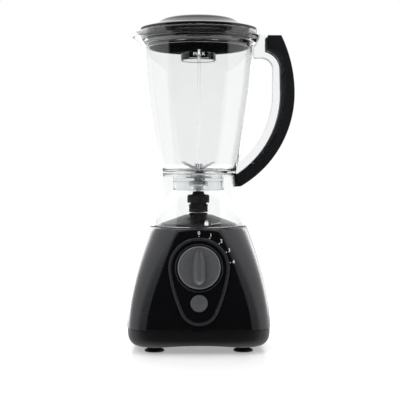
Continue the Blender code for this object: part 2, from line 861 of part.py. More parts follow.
def motor_brackets():
    """Top and bottom frames that hold the bearings, with an arm to each corner bolt."""
    for name, z, bearing_side in (
        ("upper_bracket", UPPER_BRACKET_Z, 1),
        ("lower_bracket", LOWER_BRACKET_Z, -1),
    ):
        bar_half = BRACKET_BOLT + 5 * MM
        first = block(f"{name}_bar", (-bar_half, -6 * MM, z), (bar_half, 6 * MM, z + BRACKET_T))
        cup = cylinder(
            f"{name}_cup",
            BEARING_R + 2.5 * MM,
            z - (0 if bearing_side > 0 else 3 * MM),
            z + BRACKET_T + (3 * MM if bearing_side > 0 else 0),
            LAMINATION,
            None,
            24,
        )
        cup.name = name
        boolean(cup, first, "UNION")
        if name == "upper_bracket":
            for i in (0, 1):
                arm = block(
                    f"bracket_arm_{i}",
                    (-MOTOR_POST * math.sqrt(2) - 5 * MM, -4 * MM, z),
                    (MOTOR_POST * math.sqrt(2) + 5 * MM, 4 * MM, z + BRACKET_T),
                    None,
                    Matrix.Rotation(math.pi / 4 + i * math.pi / 2, 4, "Z"),
                )
                boolean(cup, arm, "UNION")
        boolean(
            cup,
            cylinder(f"{name}_bore", BEARING_R + GAP, z - 9 * MM, z + 14 * MM, None, None, 24),
        )
        for side in (-1, 1):
            at = Matrix.Translation((side * BRACKET_BOLT, 0, 0))
            boolean(
                cup,
                cylinder(f"{name}_bolt_{side}", 2.3 * MM, z - 1 * MM, z + 9 * MM, None, at, 10),
            )
        turned(
            name.replace("bracket", "bearing"),
            ring_loop(SHAFT_R + GAP, BEARING_R, z + 0.3 * MM, z + 0.3 * MM + BEARING_H),
            STEEL,
            20,
        )


def motor_bolts():
    """The two long bolts that clamp bracket, stator and bracket together."""
    for name, side in (("motor_bolt_left", -1), ("motor_bolt_right", 1)):
        at = Matrix.Translation((side * BRACKET_BOLT, 0, 0))
        line = [
            (0, UPPER_BRACKET_Z + BRACKET_T + 3 * MM),
            (3.6 * MM, UPPER_BRACKET_Z + BRACKET_T + 3 * MM),
            (3.6 * MM, UPPER_BRACKET_Z + BRACKET_T + GAP),
            (2 * MM, UPPER_BRACKET_Z + BRACKET_T + GAP),
            (2 * MM, LOWER_BRACKET_Z - 2 * MM),
            (0, LOWER_BRACKET_Z - 2 * MM),
        ]
        turned_solid(name, line, STEEL, 8, at)
        stator = bpy.data.objects["stator_core"]
        hole = cylinder(
            f"stator_bolt_{side}", 2.3 * MM, STATOR_Z[0] - 1 * MM, STATOR_Z[1] + 1 * MM, None, at, 10
        )
        boolean(stator, hole)


def motor_rotor():
    """Shaft, armature, commutator and fan, which turn as one."""
    top = DRIVER_Z + DRIVER_HUB_H + 1.5 * MM
    cylinder("motor_shaft", SHAFT_R, SHAFT_BOTTOM_Z, top, STEEL, None, 16)
    low, high = STATOR_Z
    bore = SHAFT_R + GAP
    armature = [
        (bore, high + 8 * MM),
        (ARMATURE_R - 5 * MM, high + 8 * MM),
        (ARMATURE_R - 3 * MM, high + 1 * MM),
        (ARMATURE_R, high),
        (ARMATURE_R, low),
        (ARMATURE_R - 3 * MM, low - 1 * MM),
        (ARMATURE_R - 5 * MM, low - 6 * MM),
        (bore, low - 6 * MM),
    ]
    turned("armature", armature, COPPER, 24)
    turned("commutator", ring_loop(bore, COMMUTATOR_R, *COMMUTATOR_Z), COPPER, 24)
    z0, z1 = FAN_Z
    hub = [
        (bore, z1),
        (9 * MM, z1),
        (9 * MM, z0 + 2 * MM),
        (FAN_R, z0 + 2 * MM),
        (FAN_R, z0),
        (bore, z0),
    ]
    fan = turned("cooling_fan", hub, BLACK_SATIN, 24)
    for i in range(FAN_BLADES):
        turn = Matrix.Rotation(2 * math.pi * i / FAN_BLADES, 4, "Z")
        vane = block(
            f"vane_{i}",
            (8 * MM, -0.9 * MM, z0 + 1 * MM),
            (FAN_R - 1 * MM, 0.9 * MM, z1),
            None,
            turn @ Matrix.Translation((0, 3 * MM, 0)),
        )
        boolean(fan, vane, "UNION")


def splash_seal():
    """The lipped seal that keeps spills on the seat away from the motor."""
    crown = seat_z(SEAT_CROWN_R)
    neck = SHAFT_HOLE_R - GAP
    loop = [
        (SHAFT_R + RUNNING, crown + GAP + 1.8 * MM),
        (neck + 2 * MM, crown + GAP + 1.8 * MM),
        (neck + 3 * MM, crown + GAP),
        (neck, crown + GAP),
        (neck, crown - WALL - 1 * MM),
        (SHAFT_R + RUNNING, crown - WALL - 1 * MM),
    ]
    turned("splash_seal", loop, RUBBER, 20)


def terminal_block():
    """The block on the floor plate where the mains lead's wires would be clamped."""
    floor = PLATE_Z + PLATE_T + GAP
    body = block("terminal_block", (-12 * MM, 46 * MM, floor), (12 * MM, 58 * MM, floor + 12 * MM), BRONZE)
    rounded(body, 1 * MM, 1)


def motor_brushes():
    """Carbon brushes in their holders, pressed on the commutator from left and right."""
    mid = (COMMUTATOR_Z[0] + COMMUTATOR_Z[1]) / 2
    half = BRUSH_W / 2
    for name, side in (("left", -1), ("right", 1)):
        turn = Matrix.Rotation(0 if side > 0 else math.pi, 4, "Z")
        block(
            f"carbon_brush_{name}",
            (COMMUTATOR_R + GAP, -half, mid - half),
            (COMMUTATOR_R + 11 * MM, half, mid + half),
            CARBON,
            turn,
        )
        holder = block(
            f"brush_holder_{name}",
            (COMMUTATOR_R + 3 * MM, -half - 2.3 * MM, mid - half - 2.3 * MM),
            (COMMUTATOR_R + 12.5 * MM, half + 2.3 * MM, mid + half + 2.3 * MM),
            BRONZE,
            turn,
        )
        tunnel = block(
            f"brush_tunnel_{name}",
            (COMMUTATOR_R, -half - GAP, mid - half - GAP),
            (COMMUTATOR_R + 16 * MM, half + GAP, mid + half + GAP),
            None,
            turn,
        )
        boolean(holder, tunnel)


def star(grow):
    """Outline of the coupling's teeth."""
    points = []
    pitch = 360 / STAR_TEETH
    for i in range(STAR_TEETH):
        for share, radius in ((-0.27, STAR_ROOT_R), (-0.17, STAR_R), (0.17, STAR_R), (0.27, STAR_ROOT_R)):
            angle = math.radians(pitch * (i + share))
            points.append(((radius + grow) * math.cos(angle), (radius + grow) * math.sin(angle)))
    return points


def couplings():
    """The rubber driver on the motor shaft, and the toothed socket under the jug that drops over it."""
    hub_top = DRIVER_Z + DRIVER_HUB_H
    driver = cylinder("drive_coupling", DRIVER_HUB_R, DRIVER_Z, hub_top, RUBBER, None, 24)
    middle = Matrix.Translation((0, 0, hub_top + (STAR_H - 1 * MM) / 2))
    teeth = plate("driver_teeth", star(0), STAR_H + 1 * MM, None, middle)
    boolean(driver, teeth, "UNION")
    bore_top = hub_top + 1.5 * MM + GAP
    boolean(driver, cylinder("driver_bore", SHAFT_R + GAP, DRIVER_Z - 1 * MM, bore_top, None, None, 16))

    low = hub_top + 1.5 * MM
    high = low + SOCKET_H
    socket_top = hub_top + STAR_H + 0.8 * MM
    line = [
        (0, high + 4 * MM),
        (6.5 * MM, high + 4 * MM),
        (7.5 * MM, high),
        (SOCKET_R - 1.5 * MM, high),
        (SOCKET_R, high - 1.5 * MM),
        (SOCKET_R, low),
        (0, low),
    ]
    socket = turned_solid("driven_coupling", line, RUBBER, 24)
    middle = Matrix.Translation((0, 0, (low - 1 * MM + socket_top) / 2))
    boolean(socket, plate("socket_teeth", star(RUNNING), socket_top - low + 1 * MM, None, middle))
    bore_low = socket_top + 1.5 * MM
    boolean(
        socket,
        cylinder("socket_bore", BLADE_SHAFT_R + GAP, bore_low, high + 6 * MM, None, None, 16),
    )
    return bore_low + GAP


# ---------------------------------------------------------------- jug


def jug_radius(z):
    """Outer radius of the jug's wall: a belly above the waist and a flared skirt below it."""
    if z >= WAIST_Z:
        share = (JUG_SHELF_Z - 3 * MM - z) / (JUG_SHELF_Z - 3 * MM - WAIST_Z)
        return JUG_NECK_R - (JUG_NECK_R - WAIST_R) * max(0.0, share) ** JUG_BELLY_POWER
    share = (WAIST_Z - z) / (WAIST_Z - HOUSING_TOP_Z)
    return WAIST_R + (SKIRT_BOTTOM_R - WAIST_R) * share**SKIRT_POWER


def spread(low, high, count):
    return [low + (high - low) * i / count for i in range(count + 1)]


def jug_loop():
    neck = JUG_SHELF_Z - 3 * MM
    skirt_low = HOUSING_TOP_Z + GAP
    rim = JUG_RIM_R
    outer = [(rim, JUG_RIM_Z), (rim - 0.6 * MM, 374 * MM), (rim - 4.4 * MM, JUG_SHELF_Z)]
    outer += [(jug_radius(z), z) for z in spread(neck, WAIST_Z, 7)]
    outer += [(jug_radius(z), z) for z in spread(WAIST_Z, skirt_low, 5)[1:]]
    under = [(jug_radius(z) - JUG_WALL, z) for z in spread(skirt_low, WAIST_Z - FLOOR_T, 4)]
    well_in = WELL_R - JUG_WALL
    well_floor = WAIST_Z - WELL_DEPTH
    hole = CARRIER_R + GAP
    collar_low = WAIST_Z - FLOOR_T - COLLAR_DEPTH
    floor = [
        (WELL_R, WAIST_Z - FLOOR_T),
        (WELL_R, collar_low),
        (well_in, collar_low),
        (well_in, well_floor - FLOOR_T),
        (hole, well_floor - FLOOR_T),
        (hole, well_floor),
        (well_in, well_floor),
        (well_in, WAIST_Z),
    ]
    inner = [(jug_radius(z) - JUG_WALL, z) for z in spread(WAIST_Z, neck, 7)]
    shelf = [
        (rim - 4.4 * MM - JUG_WALL, JUG_SHELF_Z),
        (rim - JUG_WALL, JUG_SHELF_Z + 4.5 * MM),
        (rim - JUG_WALL, JUG_RIM_Z),
    ]
    return outer + under + floor + inner + shelf


def spout_hull(name, inset, inward, rise, material=None):
    """The pouring lip as a hull: a rounded tip at the rim, drawn back to a root on the wall."""

    def build(bm):
        root_x = -(JUG_RIM_R - JUG_WALL) + inset
        points = [(root_x, side * 2 * MM, SPOUT_ROOT_Z + inset) for side in (-1, 1)]
        half = JUG_RIM_R * math.sin(SPOUT_HALF_ANGLE) - inset
        chord_x = -JUG_RIM_R * math.cos(SPOUT_HALF_ANGLE) + JUG_WALL / 2 + inward
        for z, pull in ((JUG_RIM_Z + rise, 0.0), (JUG_RIM_Z - SPOUT_LIP + inset, 1.2 * MM)):
            tip = arc(-SPOUT_REACH + inset + pull + SPOUT_TIP_R, 0, SPOUT_TIP_R, 120, 240, 6)
            points += [(x, y, z) for x, y in tip]
            points += [(chord_x, side * half, z) for side in (-1, 1)]
        for point in points:
            bm.verts.new(point)
        bmesh.ops.convex_hull(bm, input=bm.verts)
        loose = [v for v in bm.verts if not v.link_faces]
        bmesh.ops.delete(bm, geom=loose, context="VERTS")
        bmesh.ops.recalc_face_normals(bm, faces=bm.faces)

    return mesh_object(name, build, material)


XZ = Matrix.Rotation(math.pi / 2, 4, "X")  # a plate's outline (x, y) becomes (x, z)


def jug():
    body = turned("jug", jug_loop(), CLEAR, 32)
    keep_out = turned(
        "spout_trim",
        [(JUG_NECK_R * 0.2, JUG_RIM_Z + 9 * MM)]
        + [(r - JUG_WALL / 2, z) for r, z in jug_outside()]
        + [(JUG_NECK_R * 0.2, HOUSING_TOP_Z - 9 * MM)],
        None,
        36,
    )
    spout = boolean(spout_hull("spout_outside", 0, 0, 0), keep_out)
    boolean(body, spout, "UNION")
    boolean(body, spout_hull("spout_channel", JUG_WALL, 8 * MM, 5 * MM))
    for i, side in enumerate((-1, 1)):
        heights = spread(WAIST_Z + 2 * MM, RIB_TOP_Z, 6)
        wall = [(side * (jug_radius(z) - JUG_WALL + 0.8 * MM), z) for z in heights]
        inner = [(side * (jug_radius(z) - JUG_WALL - RIB_D), z) for z in heights]
        yz = Matrix.Rotation(math.pi / 2, 4, "Z") @ XZ
        rib = plate(f"stir_rib_{i}", wall + inner[::-1], RIB_T, None, yz)
        boolean(body, rib, "UNION")
    return body


def jug_outside(grow=0.0):
    """The jug's outer line from rim to skirt, grown outwards."""
    rim = [(JUG_RIM_R, JUG_RIM_Z + 9 * MM), (JUG_RIM_R, 372 * MM), (JUG_RIM_R - 4.4 * MM, JUG_SHELF_Z)]
    wall = [(jug_radius(z), z) for z in spread(JUG_SHELF_Z - 3 * MM, WAIST_Z, 9)]
    skirt = [(jug_radius(z), z) for z in spread(WAIST_Z, HOUSING_TOP_Z, 7)[1:]]
    return [(r + grow, z) for r, z in rim + wall + skirt]


# ---------------------------------------------------------------- handle

UPPER_C = (HANDLE_REACH - HANDLE_UPPER_R, HANDLE_WIDE_Z)
LOWER_C = (HANDLE_REACH - HANDLE_LOWER_R, HANDLE_WIDE_Z)
INNER_X = HANDLE_REACH - GRIP_T
INNER_C = (INNER_X - INNER_LOWER_R, HANDLE_WIDE_Z)
KNUCKLE_C = (INNER_X - KNUCKLE_R - 0.6 * MM, HANDLE_WIDE_Z + 29.5 * MM)
SEAM_DROP = 1.8 * MM  # how much flatter the seam's lower arc is than the grip's inner one
SEAM_X = INNER_X + LINER_T
SEAM_R = INNER_LOWER_R - SEAM_DROP
SEAM_C = (SEAM_X - SEAM_R, HANDLE_WIDE_Z)
SEAM_KNUCKLE_R = KNUCKLE_R + LINER_T - 0.3 * MM


def outer_curve(inset, low_z, count):
    """The handle's outside from its top to a height below, as two tangent arcs."""
    top = math.degrees(math.asin((HANDLE_TOP_Z - HANDLE_WIDE_Z) / HANDLE_UPPER_R))
    end = math.degrees(math.asin((low_z - HANDLE_WIDE_Z) / (HANDLE_LOWER_R - inset)))
    upper = arc(*UPPER_C, HANDLE_UPPER_R - inset, top, 0, count)
    return upper[:-1] + arc(*LOWER_C, HANDLE_LOWER_R - inset, 0, end, count + 2)


def inner_curve(knuckle_r, lower_r, low_z, start=90, count=6):
    """The inside from the knuckle under the top block to a height below."""
    end = math.degrees(math.asin((low_z - HANDLE_WIDE_Z) / lower_r))
    lower_x = INNER_C[0] if lower_r != SEAM_R else SEAM_C[0]
    knuckle = arc(*KNUCKLE_C, knuckle_r, start, 0, count - 1)
    return knuckle + arc(lower_x, HANDLE_WIDE_Z, lower_r, 0, end, count + 2)


def core_outline(grow):
    """The clear C-shaped bar moulded to the jug, which the black grip is fixed around."""
    knuckle = KNUCKLE_R - CORE_EDGE + 0.8 * MM - grow
    lower = INNER_LOWER_R - CORE_EDGE - grow
    inside = [(60 * MM, KNUCKLE_C[1] + knuckle)] + inner_curve(knuckle, lower, 214 * MM)
    inside += [(40 * MM, 214 * MM)]
    outside = [
        (x, z) for x, z in outer_curve(CORE_COVER - grow, 196 * MM, 6) if z < HANDLE_TOP_Z - 4 * MM
    ]
    covered = HANDLE_TOP_Z - CORE_COVER + grow
    bare_x, bare_top = BLOCK_X - 1 * MM + grow, JUG_RIM_Z - 1.5 * MM
    top = [(outside[0][0] - 1 * MM, covered), (bare_x, covered), (bare_x, bare_top), (60 * MM, bare_top)]
    return inside + [(40 * MM, 196 * MM)] + outside[::-1] + top


def handle_pieces():
    """The clear bar on the jug, the black grip outside it, and the liner that the fingers touch."""
    core = plate("handle_core", core_outline(0), CORE_W, CLEAR, XZ)
    wall = turned(
        "core_trim",
        [(10 * MM, JUG_RIM_Z + 9 * MM)]
        + jug_outside(GAP)
        + [(10 * MM, HOUSING_TOP_Z - 9 * MM)],
        None,
        32,
    )
    boolean(core, wall)
    slot = plate("core_slot", core_outline(GAP), CORE_W + 2 * GAP, None, XZ)
    clear_of_jug = turned(
        "grip_trim",
        [(10 * MM, JUG_RIM_Z + 9 * MM)]
        + jug_outside(2 * GAP)
        + [(10 * MM, HOUSING_TOP_Z - 9 * MM)],
        None,
        48,
    )
    end_z = WAIST_Z - 19 * MM
    outside = outer_curve(0, end_z, 7)
    seam = inner_curve(SEAM_KNUCKLE_R, SEAM_R, LINER_END_Z, 74)
    bare = arc(
        *INNER_C,
        INNER_LOWER_R,
        math.degrees(math.asin((LINER_END_Z - HANDLE_WIDE_Z) / INNER_LOWER_R)),
        math.degrees(math.asin((WAIST_Z - 5 * MM - HANDLE_WIDE_Z) / INNER_LOWER_R)),
        3,
    )
    left = BLOCK_X + 2.2 * MM
    tail = [(40 * MM, WAIST_Z - 5 * MM), (40 * MM, end_z)]
    outline = [(left, HANDLE_TOP_Z)] + outside + tail[::-1] + bare[::-1]
    outline += seam[::-1] + [(left, seam[0][1])]
    grip = plate("handle_grip", outline, GRIP_W, BLACK_SATIN, XZ)
    boolean(rounded(grip, 3.5 * MM), slot)
    boolean(grip, clear_of_jug)

    near = inner_curve(KNUCKLE_R, INNER_LOWER_R, LINER_END_Z + GAP, 77)
    far = inner_curve(SEAM_KNUCKLE_R - GAP, SEAM_R - GAP, LINER_END_Z + GAP, 74)
    lower_x = SEAM_C[0]
    far = far[:6] + [
        (lower_x + SEAM_R * math.cos(a) - GAP, HANDLE_WIDE_Z + SEAM_R * math.sin(a))
        for a in (
            math.asin((LINER_END_Z + GAP - HANDLE_WIDE_Z) / SEAM_R) * i / 8 for i in range(9)
        )
    ]
    top = HANDLE_TOP_Z - 2.5 * MM
    strip = [(BLOCK_X, near[0][1]), (BLOCK_X, top), (left - GAP, top), (left - GAP, far[0][1])]
    liner = plate("handle_liner", strip + far + near[::-1], LINER_W, BLACK_GLOSS, XZ)
    boolean(rounded(liner, 0.8 * MM, 1), slot)
    return grip, liner


# ---------------------------------------------------------------- lid and cap


def lid_pieces():
    flange_low = JUG_RIM_Z + GAP
    flange_top = flange_low + LID_FLANGE_T
    ledge = LID_TOP_Z - CAP_RECESS
    sleeve_in = CAP_TUBE_R + RUNNING
    sleeve_out = sleeve_in + LID_WALL
    cap_hole = CAP_R + RUNNING
    under = ledge - 2.6 * MM
    plug_in = LID_PLUG_R - LID_WALL
    loop = [
        (cap_hole, LID_TOP_Z - 0.2 * MM),
        (cap_hole + 2 * MM, LID_TOP_Z),
        (LID_CROWN_R + 2 * MM, LID_TOP_Z - 0.1 * MM),
        (LID_CROWN_R + 6 * MM, LID_TOP_Z - 1.6 * MM),
        (LID_CROWN_R + 10 * MM, LID_TOP_Z - 4.6 * MM),
        (LID_CROWN_R + 15 * MM, LID_TOP_Z - 7.2 * MM),
        (LID_FLANGE_R - 3.5 * MM, flange_top + 0.6 * MM),
        (LID_FLANGE_R, flange_top - 0.6 * MM),
        (LID_FLANGE_R, flange_low),
        (LID_PLUG_R, flange_low),
        (LID_PLUG_R, LID_PLUG_Z),
        (plug_in, LID_PLUG_Z),
        (plug_in, flange_top + 1.6 * MM),
        (LID_CROWN_R - 1 * MM, under),
        (sleeve_out, under),
        (sleeve_out, SLEEVE_Z),
        (sleeve_in, SLEEVE_Z),
        (sleeve_in, ledge),
        (cap_hole, ledge),
    ]
    turned("lid", loop, BLACK_GLOSS, 32)
    seal_in = LID_PLUG_R + GAP
    seal = [
        (seal_in, 371 * MM),
        (seal_in + 2.5 * MM, 371 * MM),
        (JUG_RIM_R - JUG_WALL - 3 * MM, 369.6 * MM),
        (seal_in + 2.5 * MM, 368 * MM),
        (seal_in, 368 * MM),
    ]
    turned("lid_seal", seal, RUBBER, 32)
    cap_low = ledge + GAP
    line = [
        (0, CAP_TOP_Z),
        (CAP_R - 16 * MM, CAP_TOP_Z - 0.7 * MM),
        (CAP_R - 7 * MM, CAP_TOP_Z - 2.4 * MM),
        (CAP_R - 2 * MM, LID_TOP_Z + 0.2 * MM),
        (CAP_R, cap_low + 2 * MM),
        (CAP_R, cap_low),
        (CAP_TUBE_R, cap_low),
        (CAP_TUBE_R, CAP_BOTTOM_Z),
        (CAP_TUBE_R - CAP_WALL, CAP_BOTTOM_Z),
        (CAP_TUBE_R - CAP_WALL, cap_low + 2.6 * MM),
        (CAP_TUBE_R - 9 * MM, CAP_TOP_Z - 2.6 * MM),
        (0, CAP_TOP_Z - 2 * MM),
    ]
    turned_solid("measuring_cap", line, CLEAR, 28)


# ---------------------------------------------------------------- blade unit


def hexagon(across, turn=0.0):
    return arc(0, 0, across / math.sqrt(3), turn, turn + 300, 5)


def blade_wing(name, z, rise, turn):
    """A two-winged blade: a strip that tapers to its tips and bends up or down outside its hub."""
    hub = 7.5 * MM

    def build(bm):
        bmesh.ops.create_grid(bm, x_segments=8, y_segments=2, size=1)
        for v in bm.verts:
            x = v.co.x * BLADE_R
            out = max(0.0, abs(x) - hub) / (BLADE_R - hub)
            sweep = 2.4 * MM * out * (1 if x > 0 else -1)
            half = BLADE_W / 2 * (1 - 0.55 * out**1.5)
            v.co = (x, v.co.y * half + sweep, rise * out)

    place = Matrix.Translation((0, 0, z)) @ Matrix.Rotation(turn, 4, "Z")
    blade = mesh_object(name, build, STEEL, place)
    sheet = blade.modifiers.new("sheet", "SOLIDIFY")
    sheet.thickness = BLADE_T
    sheet.offset = 1
    bore = cylinder(f"{name}_bore", BLADE_SHAFT_R + GAP, z - 2 * MM, z + 4 * MM, None, None, 16)
    return boolean(blade, bore)


def blade_unit(shaft_low):
    well_floor = WAIST_Z - WELL_DEPTH
    gasket_low, gasket_high = well_floor + GAP, well_floor + GAP + 1 * MM
    turned(
        "carrier_gasket",
        ring_loop(CARRIER_R + GAP, CARRIER_FLANGE_R - 1 * MM, gasket_low, gasket_high),
        SILICONE,
        20,
    )
    flange_low = gasket_high + GAP
    bore = BUSH_R + GAP
    carrier_low = WAIST_Z - FLOOR_T - COLLAR_DEPTH
    carrier = [
        (bore, CARRIER_TOP_Z),
        (CARRIER_R + 2 * MM, CARRIER_TOP_Z),
        (CARRIER_R + 3.5 * MM, flange_low + 2.4 * MM),
        (CARRIER_FLANGE_R, flange_low + 2 * MM),
        (CARRIER_FLANGE_R, flange_low),
        (CARRIER_R, flange_low),
        (CARRIER_R, carrier_low),
        (bore, carrier_low),
    ]
    turned("blade_carrier", carrier, STEEL, 20)
    turned(
        "shaft_bush",
        ring_loop(BLADE_SHAFT_R + GAP, BUSH_R, carrier_low + 0.5 * MM, CARRIER_TOP_Z - 0.5 * MM),
        BRONZE,
        16,
    )
    nut_high = well_floor - FLOOR_T - GAP
    nut_low = nut_high - 6 * MM
    across = 2 * (CARRIER_R + 4 * MM)
    middle = Matrix.Translation((0, 0, (nut_low + nut_high) / 2))
    hole = arc(0, 0, CARRIER_R + GAP, 0, 337.5, 15)
    plate("carrier_nut", hexagon(across), 6 * MM, STEEL, middle, (hole,))

    lower_z = CARRIER_TOP_Z + 0.6 * MM
    upper_z = lower_z + BLADE_T + GAP
    nut_z = upper_z + BLADE_T + GAP
    blade_wing("lower_blade", lower_z, LOWER_BLADE_DROP, math.radians(-38))
    blade_wing("upper_blade", upper_z, UPPER_BLADE_RISE, math.radians(40))
    shaft_top = nut_z + 3.4 * MM
    cylinder("blade_shaft", BLADE_SHAFT_R, shaft_low, shaft_top, STEEL, None, 16)
    nut = plate(
        "blade_nut", hexagon(9.6 * MM), 5.5 * MM, STEEL, Matrix.Translation((0, 0, nut_z + 2.75 * MM))
    )
    rounded(nut, 0.6 * MM, 1)
    bore_cut = cylinder(
        "nut_bore", BLADE_SHAFT_R + GAP, nut_z - 1 * MM, shaft_top + GAP, None, None, 16
    )
    boolean(nut, bore_cut)


def centre_footprint():
    """Moves the motor's axis so that the origin is the middle of the footprint's box."""
    out = DIAL_PLATE_FRONT + GAP + KNOB_T + KNOB_BAR_H
    front = base_half(DIAL_Z) + out * math.cos(DIAL_LEAN) + KNOB_BAR_L / 2 * math.sin(DIAL_LEAN)
    FRAME.location = ((SPOUT_REACH - HANDLE_REACH) / 2, (front - BASE_HALF - GLAND_PROUD) / 2, 0)


def main():
    centre_footprint()
    motor_housing()
    panel = panel_patch("front_panel", 0, 0, PANEL_T, BLACK_GLOSS)
    boolean(panel, dial_prism("panel_window", GAP, -20 * MM, 12 * MM))
    control_dial()
    speed_knob()
    pulse_button()
    button_spring()
    switches()
    bottom_cover()
    feet_and_screws()
    cord_gland()
    motor_stator()
    field_coils()
    motor_brackets()
    motor_bolts()
    motor_rotor()
    motor_brushes()
    splash_seal()
    terminal_block()
    shaft_low = couplings()
    jug()
    handle_pieces()
    lid_pieces()
    blade_unit(shaft_low)


main()
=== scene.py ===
"""Countertop blender: the looks of its motor base, controls, jug, handle, blade unit, lid and measuring cap.

Every piece is modelled in metres around the motor's axis, front towards -Y and handle towards +X, and is then
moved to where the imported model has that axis.
"""

import math

import bpy
from mathutils import Matrix, Vector


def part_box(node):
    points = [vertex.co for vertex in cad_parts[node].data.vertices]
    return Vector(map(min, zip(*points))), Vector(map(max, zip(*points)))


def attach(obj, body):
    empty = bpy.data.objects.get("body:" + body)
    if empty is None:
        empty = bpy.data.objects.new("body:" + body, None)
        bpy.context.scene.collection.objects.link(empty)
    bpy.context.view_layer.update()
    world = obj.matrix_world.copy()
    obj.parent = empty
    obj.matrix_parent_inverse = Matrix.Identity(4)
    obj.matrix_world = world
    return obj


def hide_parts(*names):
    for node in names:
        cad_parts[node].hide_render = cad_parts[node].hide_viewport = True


bl_info = {
    "name": "Countertop blender",
    "version": (1, 0, 0),
    "blender": (4, 5, 0),
    "location": "3D View > Sidebar > Countertop blender",
    "description": "Models a countertop blender piece by piece around its packed frame",
    "category": "Object",
}

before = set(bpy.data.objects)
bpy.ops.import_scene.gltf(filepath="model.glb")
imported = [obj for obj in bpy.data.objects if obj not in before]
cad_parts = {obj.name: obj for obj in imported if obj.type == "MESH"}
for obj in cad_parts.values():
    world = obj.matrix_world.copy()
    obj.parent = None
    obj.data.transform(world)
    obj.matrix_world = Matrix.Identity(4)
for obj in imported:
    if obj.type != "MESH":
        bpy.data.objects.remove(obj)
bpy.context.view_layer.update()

MM = 0.001
JUG_LOW, JUG_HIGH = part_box("jug")
SHAFT_LOW, SHAFT_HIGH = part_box("motor_shaft")
AXIS = Matrix.Translation(((SHAFT_LOW.x + SHAFT_HIGH.x) / 2, (SHAFT_LOW.y + SHAFT_HIGH.y) / 2, 0))

SEAM_Z = 28 * MM  # housing above, bottom cover below
HOUSING_TOP_Z = JUG_LOW.z - 0.3 * MM
WAIST_Z = 211 * MM
NECK_Z = 363 * MM
RIM_Z = JUG_HIGH.z


# ---------------------------------------------------------------- modelling helpers


def linear(colour):
    """An sRGB hex value as linear red, green and blue."""
    shares = [int(colour[i : i + 2], 16) / 255 for i in (1, 3, 5)]
    return tuple(s / 12.92 if s <= 0.04045 else ((s + 0.055) / 1.055) ** 2.4 for s in shares)


def mm(*points):
    """Points given in millimetres, in metres."""
    return [tuple(value * MM for value in point) for point in points]


def arc(cx, cy, radius, start, end, count):
    """Points on an arc, angles in degrees, both ends included."""
    turns = [math.radians(start + (end - start) * i / count) for i in range(count + 1)]
    return [(cx + radius * math.cos(t), cy + radius * math.sin(t)) for t in turns]


def spread(low, high, count):
    return [low + (high - low) * i / count for i in range(count + 1)]


def filleted(corners, steps=5):
    """A closed outline with each corner (a, b, radius) rounded; one given as (a, b) stays as it is."""
    outline = []
    for i, corner in enumerate(corners):
        here = Vector(corner[:2])
        if len(corner) < 3:
            outline.append(tuple(here))
            continue
        back = Vector(corners[i - 1][:2]) - here
        ahead = Vector(corners[(i + 1) % len(corners)][:2]) - here
        half = back.angle(ahead) / 2
        run = min(corner[2] / math.tan(half), 0.48 * back.length, 0.48 * ahead.length)
        radius = run * math.tan(half)
        middle = here + (back.normalized() + ahead.normalized()).normalized() * radius / math.sin(half)
        first, last = here + back.normalized() * run - middle, here + ahead.normalized() * run - middle
        sweep = first.angle(last)
        for step in range(steps + 1):
            share = step / steps
            point = first * math.sin((1 - share) * sweep) + last * math.sin(share * sweep)
            outline.append(tuple(middle + point / math.sin(sweep)))
    return outline


def started(name, primitive, **settings):
    """A primitive with nothing else selected, named for the piece it becomes."""
    bpy.ops.object.select_all(action="DESELECT")
    primitive(**settings)
    piece = bpy.context.object
    piece.name = piece.data.name = name
    return piece


def alone(piece):
    bpy.ops.object.select_all(action="DESELECT")
    piece.select_set(True)
    bpy.context.view_layer.objects.active = piece


def editing(piece):
    alone(piece)
    bpy.ops.object.mode_set(mode="EDIT")
    bpy.ops.mesh.select_all(action="SELECT")


def closed_up():
    """Ends an edit: doubles merged, strays removed and faces turned outwards."""
    bpy.ops.mesh.select_all(action="SELECT")
    bpy.ops.mesh.remove_doubles(threshold=1e-6)
    bpy.ops.mesh.delete_loose(use_verts=True, use_edges=True, use_faces=False)
    bpy.ops.mesh.select_all(action="SELECT")
    bpy.ops.mesh.normals_make_consistent(inside=False)
    bpy.ops.object.mode_set(mode="OBJECT")


def placed(piece, matrix=Matrix.Identity(4)):
    """Moves a piece modelled around the motor's axis to its place in the frame, in its mesh."""
    alone(piece)
    piece.matrix_world = AXIS @ matrix @ piece.matrix_world
    bpy.ops.object.transform_apply(location=True, rotation=True, scale=True)
    return piece


def turned(name, section, steps=128):
    """Spins a closed section of (radius, height) once round the axis."""
    piece = started(name, bpy.ops.mesh.primitive_circle_add, vertices=len(section), radius=0.01)
    for vert, (radius, height) in zip(piece.data.vertices, section):
        vert.co = (radius, 0, height)
    editing(piece)
    bpy.ops.mesh.spin(steps=steps, angle=2 * math.pi, center=(0, 0, 0), axis=(0, 0, 1))
    closed_up()
    return piece


def skinned(name, rings, looped=False):
    """A skin over rings with the same number of points, either filled at both ends or joined end to end."""
    across = len(rings[0])
    rings = rings + rings[:1] if looped else rings
    piece = started(
        name, bpy.ops.mesh.primitive_grid_add, x_subdivisions=across, y_subdivisions=len(rings) - 1, size=1
    )
    for i, vert in enumerate(piece.data.vertices):
        vert.co = rings[i // (across + 1)][i % (across + 1) % across]
    editing(piece)
    bpy.ops.mesh.remove_doubles(threshold=1e-6)
    if not looped:
        bpy.ops.mesh.fill_holes(sides=0)
    closed_up()
    return piece


def slab(name, outline, depth):
    """A flat outline of (x, y) pulled up from z 0 to its depth."""
    piece = started(
        name, bpy.ops.mesh.primitive_circle_add, vertices=len(outline), radius=0.01, fill_type="NGON"
    )
    for vert, (x, y) in zip(piece.data.vertices, outline):
        vert.co = (x, y, 0)
    editing(piece)
    bpy.ops.mesh.extrude_region_move(TRANSFORM_OT_translate={"value": (0, 0, depth)})
    closed_up()
    return piece


